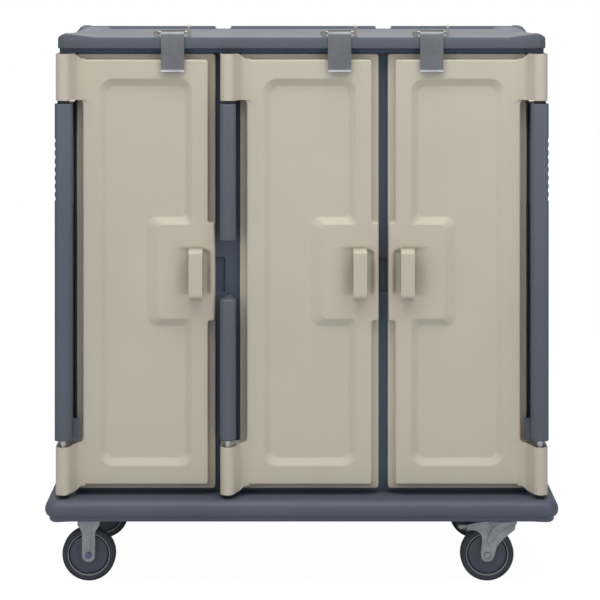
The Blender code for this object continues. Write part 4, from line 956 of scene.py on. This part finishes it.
def rigid_leg():
    """A straight leg with a round end that spreads in a soft S to the plate's width."""
    turn = np.linspace(math.pi, 2 * math.pi, 25)
    end = 0.019 * np.stack([np.cos(turn), np.sin(turn)], axis=1)
    up = np.linspace(0.004, 0.112, 40)
    half = 0.019 + 0.0125 * smooth_step(0.062, 0.090, up)
    right = np.stack([half, up], axis=1)
    return np.concatenate([end, right, (right * (-1, 1))[::-1]])


def rigid_rib():
    """A long dart pressed out of the leg, wide at the top and closed above the axle."""
    up = np.linspace(0.0135, 0.110, 30)
    half = 0.0016 + 0.0068 * smooth_step(0.010, 0.088, up) + 0.001 * np.sqrt((up - 0.0135) / 0.07)
    right = np.stack([half, up], axis=1)
    return np.concatenate([right, (right * (-1, 1))[::-1]])


def make_rigid(name):
    """A fixed caster: legs with their ribs, bridge, plate and bolts."""
    centre = WHEELS[name]
    node = "caster_frame_" + name
    x, y = centre
    bridge = rectangle((x - 0.0312, y - 0.0265), (x + 0.0312, y + 0.0265))
    stacks = slabs(rigid_leg(), LEG_SIDES, centre, 0.0012)
    stacks += slabs(rigid_rib(), RIB_SIDES, centre, 0.0006)
    stacks += [stacked([(bridge, 0.1815), (bridge, 0.1880)], "Z"), plate(centre, *RIGID_PLATE)]
    stacks += bolts(centre, *RIGID_PLATE)
    show_skin(node + "_skin", stacks, ZINC, [node], "chassis")


for name in ("left_front", "left_back"):
    make_rigid(name)
print("rigid casters pressed")

# %% [markdown]
# ## Swivel casters
# The fork trails behind its kingpin, so its leg leans forward to the raceway, and a short
# arm the other way carries the brake pedal. The outline is a polygon whose corners are cut
# again and again, which turns it into a soft curve.

# %% Press the swivel casters
SWIVEL_LEG = np.array([
    (0, -0.0193), (0.0135, -0.0155), (0.0192, -0.004), (0.0222, 0.010), (0.0284, 0.0263),
    (0.0398, 0.0405), (0.0582, 0.0575), (0.0748, 0.0695), (0.0795, 0.0760), (0.0795, 0.0855),
    (0.0836, 0.0895), (0.0836, 0.0945), (0.0836, 0.0960), (0.060, 0.0960), (0.000, 0.0960),
    (-0.0213, 0.0945), (-0.0469, 0.0893), (-0.0575, 0.0848), (-0.0583, 0.0842), (-0.0583, 0.0710),
    (-0.0576, 0.0703), (-0.0412, 0.0703), (-0.0298, 0.0682), (-0.0185, 0.0603), (-0.0149, 0.0490),
    (-0.0170, 0.0250), (-0.0197, 0.0), (-0.0150, -0.0140),
])
SWIVEL_RIB = np.array([
    (0.0000, 0.0405), (0.0030, 0.0355), (0.0080, 0.0345), (0.0142, 0.0391), (0.0227, 0.0518),
    (0.0355, 0.0660), (0.0518, 0.0767), (0.0680, 0.0800), (0.0760, 0.0850), (0.0755, 0.0915),
    (0.0568, 0.0923), (0.0398, 0.0909), (0.0284, 0.0866), (0.0156, 0.0774), (0.0071, 0.0660),
    (0.0017, 0.0518),
])
KINGPIN_AHEAD = 0.040


def make_swivel(name):
    """A swivel fork, and its fixed plate with raceway and bolts."""
    x, y = WHEELS[name]
    pin = (x + KINGPIN_AHEAD, y, 0)
    fork = "caster_fork_" + name
    crown = [(0.0005, 0.1636), (0.0062, 0.1636), (0.0062, 0.1634), (0.043, 0.1634), (0.044, 0.1646),
             (0.044, 0.1752), (0.0405, 0.1792), (0.0005, 0.1792)]
    nut = [(0.0005, 0.1575), (0.0085, 0.1575), (0.0098, 0.1585), (0.0098, 0.1640), (0.0005, 0.1640)]
    stacks = slabs(smoothed(SWIVEL_LEG), LEG_SIDES, (x, y), 0.0012)
    stacks += slabs(smoothed(SWIVEL_RIB), RIB_SIDES, (x, y), 0.0010)
    stacks += [turned(crown, pin, "Z", 72), turned(nut, pin, "Z", 6)]
    show_skin(fork + "_skin", stacks, ZINC, [fork], "fork_" + name)
    base = "caster_plate_" + name
    race = [(0.0005, 0.1799), (0.036, 0.1799), (0.0375, 0.1812), (0.038, 0.1882), (0.0005, 0.1882)]
    fixed = [plate(pin[:2], *SWIVEL_PLATE), turned(race, pin, "Z", 72)] + bolts(pin, *SWIVEL_PLATE)
    show_skin(base + "_skin", fixed, ZINC, [base], "chassis")


def make_pedal(name):
    """A brake pedal: a pressed lip on an arm, and a dark ribbed tread on its upper half."""
    x, y = WHEELS[name]
    node, body = "brake_pedal_" + name, "pedal_" + name
    lip = smoothed([(-0.033, 0.0735), (-0.033, 0.0810), (-0.050, 0.0845), (-0.0575, 0.0860),
                    (-0.0820, 0.0860), (-0.0832, 0.0800), (-0.0815, 0.0740), (-0.0760, 0.0712),
                    (-0.0700, 0.0718), (-0.0640, 0.0722), (-0.0575, 0.0722), (-0.045, 0.0730)], 2)
    arm = slabs(lip, [(-0.018, 0.018)], (x, y), 0.0018)
    rod = [(0.0002, -0.0266), (0.003, -0.0266), (0.003, 0.0266), (0.0002, 0.0266)]
    arm += [turned(rod, (x - 0.038, y, AXLE_HEIGHT + 0.077), "Y", 24)]
    show_skin(node + "_skin", arm, ZINC, [node], body)
    ribs = []
    for start in np.linspace(-0.0838, -0.0622, 7):
        rib = rectangle((start, 0.0835), (start + 0.0026, 0.0962))
        ribs += slabs(rib, [(-0.0186, 0.0186)], (x, y), 0.0006)
    pad = rectangle((-0.0828, 0.0842), (-0.0608, 0.0952))
    ribs += slabs(pad, [(-0.0178, 0.0178)], (x, y), 0.0008)
    show_skin(node + "_tread", ribs, NYLON, [], body)


for name in ("right_front", "right_back"):
    make_swivel(name)
    make_pedal(name)
print("swivel casters and pedals pressed")

# %% [markdown]
# ## The base
# The base is one thick moulding with a round nose all the way round. Below the nose a skirt
# drops, set back a little, and turns under in a soft lip. It is a loft of the same rounded
# rectangle at many heights, each pulled in by its own distance from the widest one.

# %% Loft the base
BASE_HALF = (0.723, 0.354)
BASE_CORNER = 0.040


def base_ring(inset, height):
    """The base's outline pulled in by a distance. Its corners dip a little near the floor."""
    across, along = BASE_HALF[0] - inset, BASE_HALF[1] - inset
    corners = rectangle((-across, -along), (across, along))
    points = rounded(corners, [max(BASE_CORNER - inset, 0.004)] * 4, (40, 20, 40, 20), 14)
    at_corner = smooth_step(0.640, 0.700, np.abs(points[:, 0]))
    at_corner = at_corner * smooth_step(0.28, 0.33, np.abs(points[:, 1]))
    dip = 0.0022 * at_corner * (1 - smooth_step(0.196, 0.202, height))
    return np.stack([points[:, 0], points[:, 1], height - dip], axis=1)


def base_rings():
    """From the flat top over the nose and the skirt to the flat underside."""
    turn = np.linspace(0, math.pi / 2, 12)
    nose = [(0.024 * (1 - math.sin(t)), 0.2235 + 0.0275 * math.cos(t)) for t in turn]
    below = [(0.0115 * (1 - math.cos(t)) * 0.9, 0.2235 - 0.0185 * math.sin(t)) for t in turn[1:]]
    skirt = [(0.0118, 0.2035), (0.0122, 0.2005)]
    lip = [(0.0122 + 0.009 * (1 - math.cos(t)), 0.1995 - 0.009 * math.sin(t)) for t in turn]
    inside = [(0.028, 0.1905), (0.032, 0.1918), (0.034, 0.1932), (0.060, 0.1932)]
    rows = [(0.10, 0.251), (0.05, 0.251), (0.03, 0.251)] + nose + below + skirt + lip + inside
    return [base_ring(inset, height) for inset, height in rows]


base_mesh = skin("base_moulding", [np.array(base_rings())])
show("base_moulding", base_mesh, BUMPER, ["base_bumper"], "chassis")
print("base lofted:", len(base_mesh.polygons), "faces")

# %% [markdown]
# ## The roof
# The roof's top is a height worked out at every point of a grid: a flat, plus a raised
# strip at each end, a bead along the back with two notches, and a block at each back
# corner. Each rise is a smooth step, as a mould's draft and fillets give. The grid's edge
# then goes down as a wall, and under it a dark strip paints the shade in the gap over the doors.

# %% Work out the roof's height
ROOF_HALF, ROOF_FRONT, ROOF_BACK = 0.691, -0.289, 0.331
ROOF_FLAT, ROOF_UNDER = 1.5493, 1.5173
EDGE_ROUND = 0.0035
NOTCHES = (-0.243, 0.2525)


def lines(*spans):
    """Sorted grid lines from spans of (start, end, spacing)."""
    sets = [np.linspace(start, end, max(2, round((end - start) / gap) + 1))
            for start, end, gap in spans]
    return np.unique(np.round(np.concatenate(sets), 5))


def roof_height(x, y, inside):
    """The flat plus its raised parts, less its ends' slope and a quarter round at the edge.

    inside is the distance to the edge. The quarter round lowers a point by the radius less
    the square root of radius squared minus (radius - inside) squared.
    """
    side = np.abs(x)
    back = 1 - smooth_step(0.320, 0.3285, y)
    crown = 0.0048 * smooth_step(-0.30, 0.30, y) * back
    near = 1 - smooth_step(-0.25, -0.10, y)
    ramp = 0.0098 * np.clip((side - 0.584) / 0.075, 0, 1)
    strip = near * ramp + (1 - near) * 0.0060 * smooth_step(0.586, 0.604, side)
    bead = 0.0130 * smooth_step(0.290, 0.308, y) * back
    for middle in NOTCHES:
        bead *= 1 - smooth_step(0.0265, 0.0185, np.abs(x - middle))
    block = 0.0150 * smooth_step(0.644, 0.654, side) * smooth_step(0.258, 0.276, y) * back
    block *= 1 - smooth_step(0.682, 0.690, side)
    dish = 0.0050 * smooth_step(0.652, 0.660, side) * (1 - smooth_step(0.672, 0.680, side))
    block -= dish * smooth_step(0.262, 0.270, y) * (1 - smooth_step(0.290, 0.298, y))
    slope = 0.0105 * np.clip((side - 0.673) / 0.018, 0, 1) ** 1.3
    fall = 0.0080 * smooth_step(0.640, 0.680, side) * smooth_step(-0.20, 0.10, y)
    slope += fall * (1 - smooth_step(0.250, 0.268, y))
    lack = np.clip(EDGE_ROUND - inside, 0, EDGE_ROUND)
    round_off = EDGE_ROUND - np.sqrt(EDGE_ROUND ** 2 - lack ** 2)
    return ROOF_FLAT + np.maximum(np.maximum(strip + crown, bead), block) - slope - round_off


def make_roof():
    """The roof's grid, its wall and its inset underside."""
    x = lines((-0.691, -0.580, 0.0025), (-0.580, 0.580, 0.014), (0.580, 0.691, 0.0025),
              (-0.275, -0.211, 0.0025), (0.2205, 0.2845, 0.0025), (-0.691, -0.685, 0.0006),
              (0.685, 0.691, 0.0006))
    share = lines((0, 0.008, 0.0008), (0.008, 0.03, 0.003), (0.03, 0.88, 0.02), (0.88, 0.992, 0.0035),
                  (0.992, 1.0, 0.0008))
    front = ROOF_FRONT + 0.013 * np.clip((np.abs(x) - 0.674) / 0.017, 0, 1)
    y = front[:, None] + (ROOF_BACK - front[:, None]) * share[None, :]
    x = np.repeat(x[:, None], len(share), axis=1)
    inside = np.minimum(np.minimum(ROOF_HALF - np.abs(x), y - front[:, None]), ROOF_BACK - y)
    top = np.stack([x, y, roof_height(x, y, inside)], axis=-1)
    columns, rows = x.shape
    index = np.arange(columns * rows).reshape(columns, rows)
    quads = np.stack([index[:-1, :-1], index[1:, :-1], index[1:, 1:], index[:-1, 1:]], axis=-1)
    edge = np.concatenate([index[:, 0], index[-1, 1:], index[-2::-1, -1], index[0, -2:0:-1]])
    border = top.reshape(-1, 3)[edge]
    middle = np.array([0, (ROOF_FRONT + ROOF_BACK) / 2, 0])
    walls, faces, above = [], quads.reshape(-1, 4).tolist(), edge
    for inset, height in ((0, 1.5200), (0.0008, 1.5182), (0.0025, ROOF_UNDER),
                          (0.030, ROOF_UNDER), (0.0305, 1.5075)):
        shrink = 1 - inset / np.array([ROOF_HALF, 0.310, 1])
        ring = (border - middle) * shrink + middle
        ring[:, 2] = height
        walls.append(ring)
        below = columns * rows + (len(walls) - 1) * len(edge) + np.arange(len(edge))
        faces += np.stack([above, below, np.roll(below, -1), np.roll(above, -1)], axis=1).tolist()
        above = below
    faces.append(above[::-1].tolist())
    mesh = bpy.data.meshes.new("roof_moulding")
    mesh.from_pydata(np.concatenate([top.reshape(-1, 3)] + walls).tolist(), [], faces)
    turned_out = bmesh.new()
    turned_out.from_mesh(mesh)
    bmesh.ops.recalc_face_normals(turned_out, faces=turned_out.faces)
    turned_out.to_mesh(mesh)
    turned_out.free()
    mesh.shade_smooth()
    mesh.set_sharp_from_angle(angle=math.radians(50))
    show("roof_moulding", mesh, SLATE, ["roof_cap"], "chassis")
    return len(faces)


def make_gap_shade_strip():
    """A dark strip under the roof's front edge and ends, a flat U that paints the shade in the gap
    over the doors.
    """
    corners = [(-0.688, 0.10), (-0.688, -0.265), (0.688, -0.265), (0.688, 0.10),
               (0.656, 0.10), (0.656, -0.240), (-0.656, -0.240), (-0.656, 0.10)]
    outline = rounded(corners, [0.001, 0.006, 0.006, 0.001, 0.001, 0.002, 0.002, 0.001], [4] * 8, 4)
    rings = stacked(pillow(outline, 1.5047, 1.5172, 0.0008, 2), "Z")
    show_skin("roof_gap_shade_strip", [rings], GAP_SHADE_BLUE, [], "chassis")


# A painted shade: this dark blue strip stands for the shadow in the recess under the roof.
GAP_SHADE_BLUE = worn("gap_painted_shade_blue", (70, 80, 102), (78, 86, 104), 0.6, 0.00006, 0.2)
print("roof made of", make_roof(), "faces")
make_gap_shade_strip()

# %% [markdown]
# ## Webs behind the end posts
# A handle post's lower end joins the cabinet's corner through a short web behind the bar.
# It's in shadow and keeps clear of the door's edge, which swings round the pin.

# %% Make the post webs


def make_web(name, side):
    """A small block behind an end post's foot, thinner at its upper end."""
    rings = []
    for inner, rear, height in ((0.0362, 0.0415, 0.4090), (0.0350, 0.0400, 0.4105),
                                (0.0350, 0.0400, 0.4400), (0.0390, 0.0440, 0.4700)):
        corners = [(0.6600, rear), (0.6600, 0.0598), (0.6690 - inner, 0.0598), (0.6690 - inner, rear)]
        rings.append([(side * x, FRONT_Y - ahead, height) for x, ahead in corners])
    show_skin(name, [rings], SHADE_TINTED_SLATE, [], "chassis")


for name, side in (("post_web_left", -1), ("post_web_right", 1)):
    make_web(name, side)
print("post webs made")

# %% [markdown]
# ## Latches
# A latch is a bracket riveted to the roof and a flap of brushed sheet that hangs from the
# bracket's rod. Seen from the end, the flap is a hook: a curl round the rod, a long flat
# and a lip kicked out for the fingers. That outline is carried along X, with soft edges.

# %% Make the latches
LATCHES = {"left": -0.365, "middle": 0.107, "right": 0.368}
ROD_AHEAD, ROD_HEIGHT = 0.050, 1.5633
CURL_RADIUS, FLAP_HALF, STRIP_HALF, EYE_LEFT = 0.007, 0.0328, 0.052, 0.046
BRACKET_STEEL = brushed("bracket_steel", (186, 182, 174), 0.36, (0.02, 1, 1))


def curled(turn):
    """Points round the rod, where the flap's sheet is rolled into its knuckle."""
    circle = np.stack([np.cos(turn), np.sin(turn)], axis=1)
    return circle * CURL_RADIUS + (ROD_AHEAD, ROD_HEIGHT)


def flap_outline():
    """The flap's end view as (ahead, z): the curl, the flat's two faces and the lip."""
    turn = np.radians(np.linspace(215, 50, 18))
    curl = curled(turn)
    front = [(0.0605, 1.5665), (0.0645, 1.5625), (0.0660, 1.5560), (0.0660, 1.5300), (0.0660, 1.4900),
             (0.0660, 1.4610), (0.0662, 1.4580), (0.0674, 1.4550), (0.0698, 1.4522)]
    tip = [(0.0702, 1.4510), (0.0694, 1.4500)]
    rear = [(0.0660, 1.4525), (0.0638, 1.4560), (0.0631, 1.4600), (0.0631, 1.4900), (0.0631, 1.5300),
            (0.0631, 1.5540), (0.0612, 1.5590), (0.0575, 1.5610)]
    under = np.radians(np.linspace(-20, -130, 12))
    hook = curled(under)
    return np.concatenate([curl, front, tip, rear, hook])


def carried(pairs):
    """Rings along X from (outline, x) pairs whose outlines are (ahead, z)."""
    rings = stacked(pairs, "X")
    rings[..., 1] = FRONT_Y - rings[..., 1]
    return rings


def latch_disc(profile, x, z):
    """A turned piece of the bracket, about a point over the rod's line."""
    return turned(profile, (x, FRONT_Y - ROD_AHEAD, z), "Y", 40)


def make_latch(name, x):
    """One latch: its flap on its own body, and its bracket on the roof."""
    flap = "latch_flap_" + name
    sheet = carried(pillow(flap_outline(), x - FLAP_HALF, x + FLAP_HALF, 0.0007, 2))
    show_skin(flap + "_sheet", [sheet], STEEL, [flap], flap.replace("latch_", ""))
    bracket = "latch_bracket_" + name
    corners = rectangle((x - STRIP_HALF, FRONT_Y - 0.058), (x + STRIP_HALF, FRONT_Y - 0.028))
    strip = stacked(pillow(rounded(corners, [0.003] * 4, [2] * 4, 5), 1.5496, 1.5516, 0.0006, 2), "Z")
    ear_corners = [(0.0425, 1.5512), (0.0575, 1.5512), (0.0560, 1.5843), (0.0440, 1.5843)]
    ear_outline = rounded(ear_corners, [0.0005, 0.0005, 0.0055, 0.0055], [2, 6, 2, 6], 8)
    ear = carried(pillow(ear_outline, x + 0.0415, x + 0.0500, 0.0012, 3))
    ring = [(0.0044, -0.0042), (0.0052, -0.005), (0.0076, -0.005), (0.0085, -0.004),
            (0.0085, 0.004), (0.0076, 0.005), (0.0052, 0.005), (0.0044, 0.0042), (0.0044, -0.0042)]
    knob = [(0.0002, -0.0046), (0.0024, -0.0044), (0.0033, -0.0034), (0.0035, 0.004), (0.0002, 0.004)]
    rod = [(0.0002, -0.0455), (0.0034, -0.0455), (0.0034, 0.0440), (0.0002, 0.0440)]
    rivet = [(0.0002, 0.0014), (0.0022, 0.0010), (0.0034, 0.0), (0.0034, -0.001), (0.0002, -0.001)]
    eye_z, line = 1.5601, (x, FRONT_Y - ROD_AHEAD, ROD_HEIGHT)
    rivets = [turned(rivet, (x + side, FRONT_Y - 0.034, 1.5518), "Z", 20) for side in (-0.04, 0, 0.04)]
    stacks = [strip, ear, latch_disc(ring, x - EYE_LEFT, eye_z), latch_disc(knob, x - EYE_LEFT, eye_z),
              turned(rod, line, "X", 32)] + rivets
    show_skin(bracket + "_skin", stacks, BRACKET_STEEL, [bracket], "chassis")


for name, x in LATCHES.items():
    make_latch(name, x)
print("latches made:", len(LATCHES))

# %% [markdown]
# ## Which pieces are softened copies
# Each row names some solids, their finish, the record's slot for it, and how wide and fine
# their edges are rounded. Thick moulded pieces have wide rounds and pressed sheet has
# narrow ones.

# %% Soften the pieces whose shape is already right
SOFT_PIECES = (
    (("cabinet_shell",), SHADE_TINTED_SLATE, "body", 0.004, 3),
    (("middle_post_lower", "middle_post_upper"), SLATE, "body", 0.002, 3),
    (("handle_post_left", "handle_post_right"), SLATE, "body", 0.0025, 3),
)
for nodes, material, slot_name, width, steps in SOFT_PIECES:
    for node in nodes:
        softened(node, material, width, steps)
print("large dark pieces softened:", sum(len(row[0]) for row in SOFT_PIECES))

# %% Dress what is left
PLAIN_FINISHES = (
    ("tray_slide", SLIDE_STEEL), ("gasket", SEAL), ("bushing", NYLON), ("upper", NYLON),
    ("pin", BAR_STEEL),
)
for node, solid in frame["nodes"].items():
    if solid.hide_render:
        continue
    finish = next(material for word, material in PLAIN_FINISHES if word in node)
    solid.data.materials.clear()
    solid.data.materials.append(finish)
